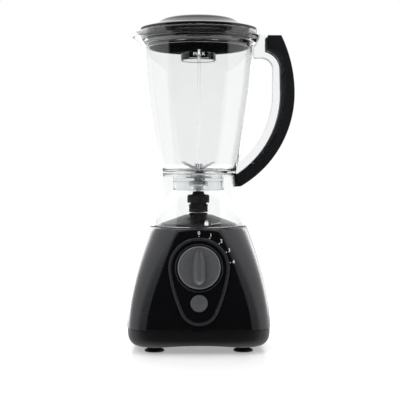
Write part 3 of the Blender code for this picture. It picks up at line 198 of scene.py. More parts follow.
def drum(name, radius, low, high, vertices=64, top=None):
    """A round bar or cone along Z, filled at both ends."""
    return started(
        name,
        bpy.ops.mesh.primitive_cone_add,
        vertices=vertices,
        radius1=radius,
        radius2=radius if top is None else top,
        depth=high - low,
        location=(0, 0, (low + high) / 2),
    )


def brick(name, low, high):
    low, high = Vector(low), Vector(high)
    return started(
        name, bpy.ops.mesh.primitive_cube_add, size=1, location=(low + high) / 2, scale=high - low
    )


def fixed(piece, matrix=Matrix.Identity(4)):
    """Gives a helper its place in its mesh."""
    alone(piece)
    piece.matrix_world = matrix @ piece.matrix_world
    bpy.ops.object.transform_apply(location=True, rotation=True, scale=True)
    return piece


def applied(piece, kind, **settings):
    """Adds a modifier with its settings and applies it."""
    alone(piece)
    modifier = piece.modifiers.new(kind.lower(), kind)
    for key, value in settings.items():
        setattr(modifier, key, value)
    bpy.ops.object.modifier_apply(modifier=modifier.name)
    return piece


def rounded(piece, width, segments=3, angle=40):
    return applied(
        piece,
        "BEVEL",
        width=width,
        segments=segments,
        limit_method="ANGLE",
        angle_limit=math.radians(angle),
    )


def cut(piece, tool, operation="DIFFERENCE"):
    """Cuts a tool from a piece, or joins it on, and throws the tool away."""
    applied(piece, "BOOLEAN", object=tool, operation=operation, solver="EXACT")
    bpy.data.objects.remove(tool)
    return piece


def joined(name, pieces):
    """Several meshes as one piece."""
    alone(pieces[0])
    for piece in pieces[1:]:
        piece.select_set(True)
    bpy.ops.object.join()
    pieces[0].name = pieces[0].data.name = name
    return pieces[0]


def copied(piece, name, matrix):
    """A copy of a piece with its own mesh, moved by a matrix in its mesh."""
    twin = bpy.data.objects.new(name, piece.data.copy())
    twin.data.name = name
    bpy.context.scene.collection.objects.link(twin)
    twin.data.transform(matrix)
    return twin


def settled(piece, finish, body, *nodes, slot=None, angle=30):
    """The last step of a piece: smooth shading, its finish, its body and the CAD nodes it stands for."""
    alone(piece)
    if angle:
        bpy.ops.object.shade_smooth_by_angle(angle=math.radians(angle))
    piece.data.materials.clear()
    piece.data.materials.append(finish_of(finish))
    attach(piece, body)
    if nodes:
        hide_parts(*nodes)
    return piece


# ---------------------------------------------------------------- finishes


def add(tree, kind, links=None, **settings):
    """Adds a shader node with its settings, and links or sets its inputs."""
    node = tree.nodes.new("ShaderNode" + kind)
    for key, value in settings.items():
        setattr(node, key, value)
    for key, value in (links or {}).items():
        if isinstance(value, bpy.types.NodeSocket):
            tree.links.new(value, node.inputs[key])
        else:
            node.inputs[key].default_value = value
    return node


def grain(tree, size, detail=2.0, stretch=None):
    """Noise whose lumps are about one size across, in metres."""
    where = add(tree, "TexCoord").outputs["Object"]
    if stretch:
        where = add(tree, "Mapping", {"Vector": where, "Scale": stretch}).outputs["Vector"]
    return add(tree, "TexNoise", {"Vector": where, "Scale": 1 / size, "Detail": detail}).outputs["Fac"]


def plain(name, colour, **settings):
    """A material with its constants on the shader: (material, tree, shader)."""
    made = bpy.data.materials.new(name)
    made.use_nodes = True
    shader = made.node_tree.nodes["Principled BSDF"]
    shader.inputs["Base Color"].default_value = (*colour, 1)
    for key, value in settings.items():
        shader.inputs[key.replace("_", " ")].default_value = value
    return made, made.node_tree, shader


def varied(tree, shader, fac, dark, light, low, high):
    """Colour and roughness that wander between two values with a pattern."""
    mix = add(tree, "Mix", {0: fac, 6: (*dark, 1), 7: (*light, 1)}, data_type="RGBA")
    tree.links.new(mix.outputs[2], shader.inputs["Base Color"])
    rough = add(tree, "MapRange", {"Value": fac, "From Min": 0.3, "From Max": 0.7, "To Min": low, "To Max": high})
    tree.links.new(rough.outputs["Result"], shader.inputs["Roughness"])


def raised(tree, shader, height, depth, strength=1.0):
    """Surface relief of a real depth, in metres."""
    bump = add(tree, "Bump", {"Height": height, "Distance": depth, "Strength": strength})
    tree.links.new(bump.outputs["Normal"], shader.inputs["Normal"])


def shade(colour, factor):
    return tuple(min(1.0, channel * factor) for channel in colour)


def abs_gloss_black(colours):
    """ABS from a polished mould: a near-mirror, with the long slow ripple of a moulded wall."""
    made, tree, shader = plain("abs_polished_black", colours.gloss_black, IOR=1.53)
    ripple = grain(tree, 18 * MM, 1.0)
    varied(tree, shader, ripple, shade(colours.gloss_black, 0.8), shade(colours.gloss_black, 1.3), 0.035, 0.07)
    raised(tree, shader, ripple, 0.12 * MM, 0.35)
    return made


def abs_satin_black(colours):
    """ABS from a lightly blasted mould: a broad soft highlight over a fine even grain.
    The real grain is about 0.1 mm; it is drawn at 0.7 mm so that it can show."""
    made, tree, shader = plain("abs_satin_black", colours.satin_black, IOR=1.53)
    flow = grain(tree, 30 * MM, 2.0)
    varied(tree, shader, flow, shade(colours.satin_black, 0.85), shade(colours.satin_black, 1.2), 0.2, 0.27)
    raised(tree, shader, grain(tree, 0.7 * MM, 1.0), 0.012 * MM, 0.35)
    return made


def abs_charcoal(colours):
    """ABS coloured charcoal through and through, from the same lightly blasted mould as the satin black."""
    made, tree, shader = plain("abs_satin_charcoal", colours.charcoal, IOR=1.5)
    flow = grain(tree, 30 * MM, 2.0)
    varied(tree, shader, flow, shade(colours.charcoal, 0.92), shade(colours.charcoal, 1.08), 0.24, 0.3)
    raised(tree, shader, grain(tree, 0.7 * MM, 1.0), 0.012 * MM, 0.35)
    return made


def abs_matt_black(colours):
    """ABS from a spark-eroded mould, on faces that stand near the worktop: a dull even grain of 0.4 mm."""
    made, tree, shader = plain("abs_spark_grain_black", colours.satin_black, IOR=1.53)
    pits = grain(tree, 0.9 * MM, 2.0)
    varied(tree, shader, pits, shade(colours.satin_black, 0.3), shade(colours.satin_black, 0.5), 0.42, 0.55)
    raised(tree, shader, pits, 0.04 * MM, 0.5)
    return made


def abs_control_grey(colours):
    """Painted ABS of the controls: fine metallic flake under a satin lacquer."""
    made, tree, shader = plain("abs_painted_grey", colours.control_grey, IOR=1.5, Metallic=0.5)
    flake = grain(tree, 0.8 * MM, 3.0)
    varied(tree, shader, flake, shade(colours.control_grey, 0.88), shade(colours.control_grey, 1.12), 0.26, 0.34)
    raised(tree, shader, flake, 0.01 * MM, 0.4)
    return made


def san_clear(colours):
    """Clear SAN: polished inside and out, with a little haze and the faint waves of its mould."""
    made, tree, shader = plain(
        "san_clear", colours.clear, IOR=1.5, Roughness=0.0, Transmission_Weight=1.0
    )
    wave = grain(tree, 26 * MM, 1.0)
    mix = add(tree, "Mix", {0: wave, 6: (*shade(colours.clear, 0.985), 1), 7: (*colours.clear, 1)}, data_type="RGBA")
    tree.links.new(mix.outputs[2], shader.inputs["Base Color"])
    raised(tree, shader, wave, 0.1 * MM, 0.25)
    return made


def rubber_black(colours):
    """Moulded rubber: dull, with a soft bloom and a fine tooth."""
    made, tree, shader = plain("rubber_moulded_black", linear("#161616"), IOR=1.52)
    tooth = grain(tree, 1.1 * MM, 3.0)
    varied(tree, shader, tooth, linear("#101011"), linear("#1e1e1f"), 0.6, 0.8)
    raised(tree, shader, tooth, 0.05 * MM, 0.5)
    return made


def silicone_grey(colours):
    """Moulded silicone: milky grey and soft, with a cloudy tone and a fine grain."""
    made, tree, shader = plain("silicone_moulded_grey", linear("#8c8f91"), IOR=1.41)
    cloud = grain(tree, 6 * MM, 2.0)
    varied(tree, shader, cloud, linear("#84878a"), linear("#979a9c"), 0.42, 0.55)
    raised(tree, shader, grain(tree, 0.9 * MM, 1.0), 0.02 * MM, 0.4)
    return made


def steel_stainless(colours):
    """Stainless steel, turned or ground: fine lines along the grinding, drawn 0.3 mm apart."""
    made, tree, shader = plain("steel_stainless_ground", colours.steel, Metallic=1.0)
    lines = grain(tree, 6 * MM, 4.0, stretch=(1, 1, 20))
    varied(tree, shader, lines, shade(colours.steel, 0.88), shade(colours.steel, 1.06), 0.16, 0.3)
    raised(tree, shader, lines, 0.02 * MM, 0.3)
    return made


def steel_laminated(colours):
    """Silicon steel sheets, stamped and stacked: a fine dark line between sheets, drawn every 1 mm."""
    made, tree, shader = plain("steel_silicon_sheets", linear("#83868c"), Metallic=1.0)
    where = add(tree, "TexCoord").outputs["Object"]
    sheets = add(
        tree,
        "TexWave",
        {"Vector": where, "Scale": 1000 / 20 * 6.2832 / 2, "Distortion": 0.4, "Detail": 1.0},
        bands_direction="Z",
    ).outputs["Fac"]
    varied(tree, shader, sheets, linear("#5c5f66"), linear("#8f9299"), 0.38, 0.55)
    raised(tree, shader, sheets, 0.05 * MM, 0.6)
    return made


def copper_wound(colours):
    """Enamelled copper wire laid in turns 0.6 mm apart, drawn at 1.4 mm: amber lacquer over metal."""
    made, tree, shader = plain("copper_enamelled_wire", linear("#b4622f"), Metallic=1.0)
    where = add(tree, "TexCoord").outputs["Object"]
    wires = add(
        tree,
        "TexWave",
        {"Vector": where, "Scale": 110.0, "Distortion": 1.2, "Detail": 1.0},
        bands_direction="X",
        wave_profile="SIN",
    ).outputs["Fac"]
    varied(tree, shader, wires, linear("#6b2f14"), linear("#cf7c42"), 0.25, 0.45)
    raised(tree, shader, wires, 0.3 * MM, 0.7)
    return made


def bronze_sintered(colours):
    """Sintered bronze: pressed powder with open pores of about 0.2 mm, drawn at 0.6 mm, damp with oil."""
    made, tree, shader = plain("bronze_sintered", linear("#a0763c"), Metallic=1.0)
    pores = grain(tree, 0.6 * MM, 3.0)
    varied(tree, shader, pores, linear("#5d421f"), linear("#b58a4c"), 0.35, 0.6)
    raised(tree, shader, pores, 0.05 * MM, 0.6)
    return made


def carbon_pressed(colours):
    """Pressed carbon: soft black with a dull graphite sheen."""
    made, tree, shader = plain("carbon_pressed", linear("#2b2b2d"), Metallic=0.3)
    grit = grain(tree, 0.8 * MM, 3.0)
    varied(tree, shader, grit, linear("#1c1c1e"), linear("#38383b"), 0.55, 0.7)
    raised(tree, shader, grit, 0.03 * MM, 0.5)
    return made


def ink_white(colours):
    """White pad-printed ink: matt, a little thin at its edges."""
    made, tree, shader = plain("ink_pad_printed_white", colours.print_white, IOR=1.5)
    thin = grain(tree, 0.9 * MM, 2.0)
    varied(tree, shader, thin, shade(colours.print_white, 0.9), colours.print_white, 0.45, 0.6)
    return made


FINISHES = {
    "gloss_black": abs_gloss_black,
    "charcoal": abs_charcoal,
    "satin_black": abs_satin_black,
    "matt_black": abs_matt_black,
    "control_grey": abs_control_grey,
    "clear": san_clear,
    "rubber": rubber_black,
    "silicone": silicone_grey,
    "steel": steel_stainless,
    "laminated": steel_laminated,
    "copper": copper_wound,
    "bronze": bronze_sintered,
    "carbon": carbon_pressed,
    "ink": ink_white,
}
MADE = {}


def finish_of(name):
    """The finish of that name, made once."""
    if name not in MADE:
        MADE[name] = FINISHES[name](bpy.context.scene.countertop_blender_colours)
    return MADE[name]


# ---------------------------------------------------------------- sizes and colours


def length(name, about, value):
    return bpy.props.FloatProperty(name=name, description=about, default=value * MM, unit="LENGTH", precision=4)


def colour(name, about, value):
    return bpy.props.FloatVectorProperty(
        name=name, description=about, default=linear(value), subtype="COLOR", size=3, min=0, max=1
    )


class CountertopBlenderSizes(bpy.types.PropertyGroup):
    base_half: length("Base half width", "Half width of the motor base at its seam", 84.9)
    top_half: length("Base top half width", "Half width of the motor base under the jug", 58.8)
    wall: length("Housing wall", "Thickness of the housing's wall", 2.8)
    panel_low_half: length("Panel bottom half width", "Half width of the front panel at the seam", 61)
    panel_top_half: length("Panel top half width", "Half width of the front panel at its top", 24.5)
    panel_edge: length("Panel edge", "Rounding of the front panel's edges", 0.55)
    dial_lean: bpy.props.FloatProperty(
        name="Dial lean", description="How far the dial leans back", default=math.radians(12.5), subtype="ANGLE"
    )
    dial_r: length("Dial radius", "Big end of the dial's egg, around the knob", 35.2)
    dial_small_r: length("Dial small radius", "Small end of the dial's egg, around the key", 22.8)
    dial_drop: length("Dial drop", "From the knob's centre to the small end's centre", 43.1)
    knob_r: length("Knob radius", "Radius of the speed knob", 24.6)
    key_r: length("Key radius", "Radius of the pulse key", 9.8)
    jug_wall: length("Jug wall", "Thickness of the jug's wall", 2.5)
    rim_r: length("Rim radius", "Outer radius of the jug at its rim", 75.8)
    neck_r: length("Neck radius", "Outer radius of the jug under its rim", 68.4)
    waist_r: length("Waist radius", "Outer radius of the jug at its floor", 46.6)
    skirt_r: length("Skirt radius", "Outer radius of the jug's skirt where it stands", 57.9)
    spout_reach: length("Spout reach", "From the jug's axis to the tip of its spout", 85.2)
    handle_reach: length("Handle reach", "From the jug's axis to the outside of its handle", 117.1)
    grip_w: length("Grip width", "Width of the handle's grip from side to side", 25)
    lid_r: length("Lid radius", "Radius of the lid's flange", 74.5)
    cap_r: length("Cap radius", "Radius of the measuring cap", 30.5)
    blade_r: length("Blade radius", "From the shaft's axis to a blade's tip", 27)


class CountertopBlenderColours(bpy.types.PropertyGroup):
    gloss_black: colour("Polished black", "Front panel, dial, lid and handle liner", "#08080a")
    charcoal: colour("Charcoal", "Housing, and the rims around the dial and knob", "#26272a")
    satin_black: colour("Satin black", "Bottom cover and handle grip", "#18191b")
    control_grey: colour("Control grey", "Knob and key", "#6a6b6e")
    clear: colour("Clear plastic", "Jug and measuring cap", "#fbfcfc")
    steel: colour("Steel", "Blades, shafts and screws", "#c4c6c8")
    print_white: colour("Print", "Marks on the panel and the jug", "#f2f2f0")


def sizes():
    return bpy.context.scene.countertop_blender_sizes


# ---------------------------------------------------------------- the base's form


def base_share(z):
    return max(0.0, (z - SEAM_Z) / (HOUSING_TOP_Z - SEAM_Z))


def base_half(z):
    """Half width of the base: widest at the seam and drawn in towards the jug."""
    s = sizes()
    return s.top_half + (s.base_half - s.top_half) * (1 - base_share(z) ** 1.75)


def base_power(z):
    """Squareness of the plan: 2 is a circle."""
    return 5.5 - 3.4 * base_share(z)


def front_y(x, z):
    """The base's front surface at (x, z)."""
    half, power = base_half(z), base_power(z)
    return -((half**power - abs(x) ** power) ** (1 / power))


def rounded_square(z, half, power, count=192):
    """A level ring on a rounded square, with most points near its corners."""
    ring = []
    for k in range(count):
        turn = 2 * math.pi * (k + 0.5) / count
        c, s = math.cos(turn), math.sin(turn)
        x = math.copysign(abs(c) ** (2 / power), c) * half
        ring.append((x, math.copysign(abs(s) ** (2 / power), s) * half, z))
    return ring


def seat_z(radius):
    """Top of the crowned seat inside the jug's skirt."""
    return HOUSING_TOP_Z + 3 * MM + 10.5 * MM * (45.5 * MM - radius) / (29.5 * MM)


def dial_plane(x=0.0, y=0.0, out=0.0):
    """A place on the dial: own X to the right, own Y up the panel, own Z out of it."""
    height = 98.6 * MM
    return (
        Matrix.Translation((0, -base_half(height), height))
        @ Matrix.Rotation(-sizes().dial_lean, 4, "X")
        @ Matrix.Rotation(math.pi / 2, 4, "X")
        @ Matrix.Translation((x, y, out))
    )


def egg(grow, fine=3):
    """Outline around knob and key: a big arc, a small arc and two flat side arcs, all tangent."""
    s = sizes()
    big, small, tilt = s.dial_r + grow, s.dial_small_r + grow, math.radians(8)
    spare = big - small
    back = (s.dial_drop**2 - spare**2) / (2 * (spare - s.dial_drop * math.sin(tilt)))
    centre = (-back * math.cos(tilt), back * math.sin(tilt))
    end = math.degrees(math.atan2(-s.dial_drop - centre[1], -centre[0]))
    right = arc(*centre, big + back, -8, end, 5 * fine)
    left = [(-x, y) for x, y in right[::-1]]
    top = arc(0, 0, big, 188, -8, 18 * fine)
    bottom = arc(0, -s.dial_drop, small, end, -180 - end, 10 * fine)
    return top[:-1] + right[:-1] + bottom[:-1] + left[:-1]


def dial_hole(grow):
    """A cutter through the panel and the housing behind the dial."""
    return fixed(slab("dial_hole", egg(grow, 1), 32 * MM), dial_plane(out=-20 * MM))


def panel_patch(name, grow, out, depth, across=48, up=40):
    """A curved sheet over the base's front, from outside its surface to a depth below it."""
    s = sizes()
    patch = started(
        name, bpy.ops.mesh.primitive_grid_add, x_subdivisions=across, y_subdivisions=up, size=2
    )
    low, high = SEAM_Z + 0.3 * MM - 3 * grow, 141.5 * MM + grow
    for vert in patch.data.vertices:
        z = low + (high - low) * (vert.co.y + 1) / 2
        half = s.panel_low_half + (s.panel_top_half - s.panel_low_half) * base_share(z) ** 1.35
        x = vert.co.x * (half + grow)
        vert.co = (x, front_y(x, z), z)
    return applied(patch, "SOLIDIFY", thickness=out + depth, offset=2 * out / (out + depth) - 1)


class Piece:
    """What every operator here shares."""

    bl_options = {"REGISTER", "UNDO"}

    def execute(self, context):
        self.make(sizes())
        return {"FINISHED"}


# ---------------------------------------------------------------- motor base


class MotorHousing(Piece, bpy.types.Operator):
    """Motor housing: a shell that turns from a rounded square into a round seat for the jug"""

    bl_idname = "countertop_blender.motor_housing"
    bl_label = "Motor housing"

    def make(self, s):
        top, low = HOUSING_TOP_Z, SEAM_Z + 0.3 * MM
        rings = [rounded_square(z, base_half(z), base_power(z)) for z in spread(low, top - 2 * MM, 30)]
        shoulder = base_half(top - 2 * MM)
        for turn in (25, 50, 70, 90):
            half = 56.4 * MM + (shoulder - 56.4 * MM) * math.cos(math.radians(turn))
            rings.append(rounded_square(top - 2 * MM + 2 * MM * math.sin(math.radians(turn)), half, 2))
        crown = seat_z(16 * MM)
        line = mm((47.6, 144), (47.1, 144.15), (46.8, 144.6), (45.7, 146.6), (45.2, 147.05))
        line += [(r * MM, seat_z(r * MM)) for r in (44, 38, 31, 24, 18)]
        line += [(16 * MM, crown - 0.1 * MM), (15 * MM, crown), (9.4 * MM, crown), (9 * MM, crown - 0.4 * MM)]
        line += [(9 * MM, crown - s.wall), (16 * MM, crown - s.wall), (44 * MM, top - 0.6 * MM), (52 * MM, top - s.wall)]
        rings += [rounded_square(z, r, 2) for r, z in line]
        rings += [rounded_square(z, base_half(z) - s.wall, base_power(z)) for z in spread(top - 5 * MM, low, 12)]
        shell = skinned("motor_housing_shell", rings, looped=True)
        cut(shell, panel_patch("recess", 0.3 * MM, 2 * MM, 1.8 * MM))
        cut(shell, dial_hole(0.3 * MM))
        hole = drum("gland_hole", 8.3 * MM, 71 * MM, 92 * MM)
        cut(shell, fixed(hole, Matrix.Translation((0, 0, 46 * MM)) @ Matrix.Rotation(-math.pi / 2, 4, "X")))
        settled(placed(shell), "charcoal", "base", "motor_housing")


class FrontPanel(Piece, bpy.types.Operator):
    """Front panel: a curved polished sheet let into the housing, with rounded edges"""

    bl_idname = "countertop_blender.front_panel"
    bl_label = "Front panel"

    def make(self, s):
        panel = panel_patch("front_panel_sheet", 0, 0, 1.5 * MM, 64, 56)
        rounded(panel, s.panel_edge, 3, 60)
        cut(panel, dial_hole(0.3 * MM))
        settled(placed(panel), "gloss_black", "base", "front_panel")


class DialBezel(Piece, bpy.types.Operator):
    """Dial bezel: an egg-shaped plate with a rounded rim, and a raised ring around the knob"""

    bl_idname = "countertop_blender.dial_bezel"
    bl_label = "Dial bezel"

    def make(self, s):
        face = 1.0
        profile = [(0, face - 3.2), (0, face + 1.5), (-0.15, face + 2.0), (-0.55, face + 2.32), (-1.1, face + 2.4)]
        profile += [(-2.5, face + 2.4), (-3.1, face + 2.25), (-3.5, face + 1.8), (-3.6, face + 1.2), (-3.6, face)]
        rings = [[(x, y, out * MM) for x, y in egg(grow * MM)] for grow, out in profile]
        bezel = skinned("dial_bezel_plate", rings)
        inner = s.knob_r / MM + 1.5
        section = mm(
            (inner, face - 0.5), (inner, face + 1.8, 0.5), (inner + 1.8, face + 1.8, 0.7), (inner + 1.8, face - 0.5)
        )
        section = filleted([(*point[:2], *point[2:]) for point in section], 4)
        cut(bezel, turned("knob_ring", section, 96), "UNION")
        cut(bezel, drum("spindle_hole", 3.5 * MM, -9 * MM, 9 * MM))
        hole = drum("key_hole", s.key_r + 0.3 * MM, -9 * MM, 9 * MM, 96)
        cut(bezel, fixed(hole, Matrix.Translation((0, -40.4 * MM, 0))))
        settled(placed(bezel, dial_plane()), "gloss_black", "base", "control_dial")
        # The raised rim and the ring around the knob take the lighter charcoal finish over the polished black of the
        # plate: painted sheen on the raised bead.
        bezel.data.materials.append(finish_of("charcoal"))
        flat = (AXIS @ dial_plane()).inverted()
        for part in bezel.data.polygons:
            part.material_index = int((flat @ part.center).z > (face + 0.4) * MM)


def printed(name, body, place, **settings):
    """Letters or figures as thin raised ink: set flat, made a mesh, and laid where place() puts each point."""
    text = started(name, bpy.ops.object.text_add)
    for key, value in settings.items():
        setattr(text.data, key, value)
    text.data.body = body
    text.data.align_x, text.data.align_y = "CENTER", "CENTER"
    text.data.extrude = 0.05 * MM
    alone(text)
    bpy.ops.object.convert(target="MESH")
    ink = bpy.context.object
    for vert in ink.data.vertices:
        vert.co = place(*vert.co)
    return ink


def inked(name, outline, place):
    """A flat inked shape from its outline."""
    ink = slab(name, outline, 0.1 * MM)
    for vert in ink.data.vertices:
        vert.co = place(vert.co.x, vert.co.y, vert.co.z - 0.05 * MM)
    return ink


class DialMarks(Piece, bpy.types.Operator):
    """Speed marks: printed figures 0 to 4 and dots around the upper right of the dial"""

    bl_idname = "countertop_blender.dial_marks"
    bl_label = "Speed marks"

    def make(self, s):
        def on_panel(middle):
            def lay(x, y, lift):
                flat = dial_plane(x + middle[0], y + middle[1], 0).translation
                return (flat.x, front_y(flat.x, flat.z) - 0.07 * MM - lift, flat.z)

            return lay

        marks = []
        for figure in range(5):
            turn = math.radians(20 * figure)
            away = Vector((math.sin(turn), math.cos(turn)))
            marks.append(printed(f"figure_{figure}", str(figure), on_panel(away * 40.6 * MM), size=5.7 * MM))
            dot = arc(0, 0, 0.55 * MM, 0, 330, 11)
            marks.append(inked(f"dot_{figure}", dot, on_panel(away * 36.9 * MM)))
        settled(placed(joined("speed_marks", marks)), "ink", "base", angle=0)


def chosen(piece, test):
    """Opens a piece in edit mode with only the faces that pass a test selected."""
    editing(piece)
    bpy.ops.mesh.select_mode(type="FACE")
    bpy.ops.mesh.select_all(action="DESELECT")
    bpy.ops.object.mode_set(mode="OBJECT")
    for face in piece.data.polygons:
        face.select = test(face)
    bpy.ops.object.mode_set(mode="EDIT")


class SpeedKnob(Piece, bpy.types.Operator):
    """Speed knob: a crowned disc with a bullet-shaped grip bar whose top is scooped"""

    bl_idname = "countertop_blender.speed_knob"
    bl_label = "Speed knob"

    def make(self, s):
        r = s.knob_r / MM
        section = mm((0, 8.7), (r - 1.2, 8.4, 0.6), (r, 7.2, 0.6), (r, 1.3, 0.3), (0, 1.3))
        knob = turned("speed_knob_disc", filleted(section, 4), 128)
        half, tip = 7.75, 21.75
        side = [(half, 2), (0.93 * half, 7), (0.78 * half, tip - 9.5), (0.55 * half, tip - 4.6), (0.28 * half, tip - 1.3)]
        outline = mm(*side, (0, tip), *[(-x, y) for x, y in side[::-1]])
        outline += arc(0, (half - tip) * MM, half * MM, 180, 360, 16)
        bar = slab("grip_bar", outline, 11.5 * MM)
        chosen(bar, lambda face: face.normal.z > 0.9)
        bpy.ops.transform.resize(value=(0.8, 0.95, 1))
        bpy.ops.mesh.inset(thickness=1.7 * MM, use_even_offset=True)
        bpy.ops.transform.translate(value=(0, 0, -2.4 * MM))
        bpy.ops.transform.resize(value=(0.5, 0.9, 1))
        closed_up()
        rounded(bar, 0.5 * MM, 3, 30)
        cut(knob, fixed(bar, Matrix.Translation((0, 0, 5.8 * MM))), "UNION")
        cut(knob, drum("bore", 3.3 * MM, 0.3 * MM, 6.3 * MM, 24))
        settled(placed(knob, dial_plane()), "control_grey", "knob", "speed_knob")


class PulseKey(Piece, bpy.types.Operator):
    """Pulse key: a round key with a soft edge, a dished face and a small raised ring"""

    bl_idname = "countertop_blender.pulse_key"
    bl_label = "Pulse key"

    def make(self, s):
        r, back = s.key_r / MM, -2.2
        section = mm(
            (0, 3.85), (1.9, 3.87), (2.0, 4.2, 0.1), (2.5, 4.2, 0.1), (2.6, 3.9), (r - 3.5, 4.0, 6), (r - 1.9, 4.4, 0.6), (r - 0.9, 4.3, 0.8), (r, 3.0, 0.9),
            (r, back - 0.3), (r + 1.2, back - 0.3), (r + 1.2, back - 1.8), (2.5, back - 1.8), (2.5, back - 8), (0, back - 8),
        )
        at = dial_plane(y=-40.4 * MM)
        key = turned("pulse_key_cap", filleted(section, 4), 96)
        settled(placed(key, at), "control_grey", "pulse_key", "pulse_button")


# ---------------------------------------------------------------- bottom cover, feet and gland


def cover_half(z, inset=0.0):
    share = min(1.0, max(0.0, (z - 7 * MM) / (15 * MM)))
    return sizes().base_half - 0.7 * MM - 10.5 * MM * (1 - math.sqrt(1 - (1 - share) ** 2)) - inset


CORNERS = {"front_left": (-1, -1), "front_right": (1, -1), "rear_left": (-1, 1), "rear_right": (1, 1)}


class BottomCover(Piece, bpy.types.Operator):
    """Bottom cover: a tray with rounded lower corners, arched edges, air slots and screw posts"""

    bl_idname = "countertop_blender.bottom_cover"
    bl_label = "Bottom cover"

    def make(self, s):
        shares = (0, 0.015, 0.06, 0.13, 0.22, 0.35, 0.5, 0.7, 1)
        heights = [(7 + 15 * share) * MM for share in shares] + [27.6 * MM]
        rings = [rounded_square(z, cover_half(z), 5.5) for z in heights]
        rings.append(rounded_square(SEAM_Z, s.base_half - 1.1 * MM, 5.5))
        cover = skinned("bottom_cover_tray", rings)
        inside = [rounded_square(z, cover_half(z, s.wall), 5.5) for z in mm((12.5, 15, 18, 22, 30))[0]]
        cut(cover, skinned("inside", inside))
        rim = cover_half(7 * MM) - 7 * MM
        cut(cover, skinned("underside", [rounded_square(z, rim, 5.5) for z in (0, 10 * MM)]))
        sweep = (52**2 + 3.5**2) / 7 * MM
        for axis in "XY":
            lie = Matrix.Translation((0, 0, 10.5 * MM - sweep)) @ Matrix.Rotation(math.pi / 2, 4, axis)
            cut(cover, fixed(drum("arch", sweep, -94 * MM, 94 * MM, 360), lie))
        for i in range(8):
            slot = brick("air_slot", (13 * MM, -2 * MM, 9 * MM), (34 * MM, 2 * MM, 14 * MM))
            cut(cover, fixed(slot, Matrix.Rotation(math.pi * (i + 0.5) / 4, 4, "Z")))
        for x, y in CORNERS.values():
            cut(cover, fixed(drum("foot_hole", 5.3 * MM, 9 * MM, 14 * MM, 32), Matrix.Translation((x * 52 * MM, y * 52 * MM, 0))))
            at = Matrix.Translation((x * 58 * MM, y * 32 * MM, 0))
            cut(cover, fixed(drum("screw_post", 5 * MM, 10 * MM, 27.7 * MM, 32), at), "UNION")
            cut(cover, fixed(drum("screw_hole", 2.2 * MM, 9 * MM, 29 * MM, 24), at))
        settled(placed(cover), "matt_black", "base", "bottom_cover")


class FeetAndScrews(Piece, bpy.types.Operator):
    """Feet and screws: four flared rubber feet and four cross-head screws, each modelled once"""

    bl_idname = "countertop_blender.feet_and_screws"
    bl_label = "Feet and screws"

    def make(self, s):
        line = mm(
            (0, 14.5), (6.3, 13.4, 0.4), (6.3, 12.8), (5, 12.8), (5, 9.7), (7.5, 9.7, 0.5), (6.5, 4.2, 3), (11.5, 1.6, 0.5),
            (11.5, 0, 0.3), (8.5, 0, 0.3), (7, 1.2, 0.4), (0, 1.6),
        )
        foot = turned("foot", filleted(line, 4), 72)
        head = mm((0, 44), (1.9, 42.5), (1.9, 9.7), (3.6, 9.7, 0.2), (3.4, 8.1, 0.6), (1.8, 7.6, 1.0), (0, 7.6))
        screw = turned("screw", filleted(head, 4), 48)
        for turn in (0, math.pi / 2):
            cross = brick("cross", (-2 * MM, -0.4 * MM, 7 * MM), (2 * MM, 0.4 * MM, 8.7 * MM))
            cut(screw, fixed(cross, Matrix.Rotation(turn, 4, "Z")))
        for corner, (x, y) in CORNERS.items():
            at = Matrix.Translation((x * 52 * MM, y * 52 * MM, 0))
            settled(placed(copied(foot, f"rubber_foot_{corner}", at)), "rubber", "base", f"foot_{corner}")
            at = Matrix.Translation((x * 58 * MM, y * 32 * MM, 0))
            settled(placed(copied(screw, f"case_screw_{corner}", at)), "steel", "base", f"cover_screw_{corner}")
        bpy.data.objects.remove(foot)
        bpy.data.objects.remove(screw)


class LeadGland(Piece, bpy.types.Operator):
    """Lead gland: the ribbed rubber bush in the back wall, with the lead's root moulded in"""

    bl_idname = "countertop_blender.lead_gland"
    bl_label = "Lead gland"

    def make(self, s):
        y = s.base_half / MM
        line = mm(
            (0, y + 7.4), (3.7, y + 7.4, 0.3), (3.7, y + 6.6), (4.6, y + 6.6, 0.3), (5.0, y + 5.6, 0.3), (4.6, y + 5.2),
            (4.7, y + 4.6), (6.4, y + 4.4, 0.4), (6.9, y + 3.2, 0.4), (6.6, y + 2.8), (7, y + 2.4, 0.3),
            (10.5, y + 1.7, 0.7), (10.5, y + 0.3, 0.2), (8, y + 0.3), (8, y - 10), (0, y - 10),
        )
        at = Matrix.Translation((0, 0, 46 * MM)) @ Matrix.Rotation(-math.pi / 2, 4, "X")
        settled(placed(turned("lead_gland_bush", filleted(line, 4), 72), at), "rubber", "base", "cord_gland")


# ---------------------------------------------------------------- couplings


def star(grow):
    """Outline of the coupling's six teeth, with rounded corners."""
    points = []
    for i in range(6):
        for share, radius in ((-0.27, 7.6), (-0.17, 9.8), (0.17, 9.8), (0.27, 7.6)):
            turn = math.radians(60 * (i + share))
            reach = radius * MM + grow
            points.append((reach * math.cos(turn), reach * math.sin(turn), 0.7 * MM))
    return filleted(points, 4)


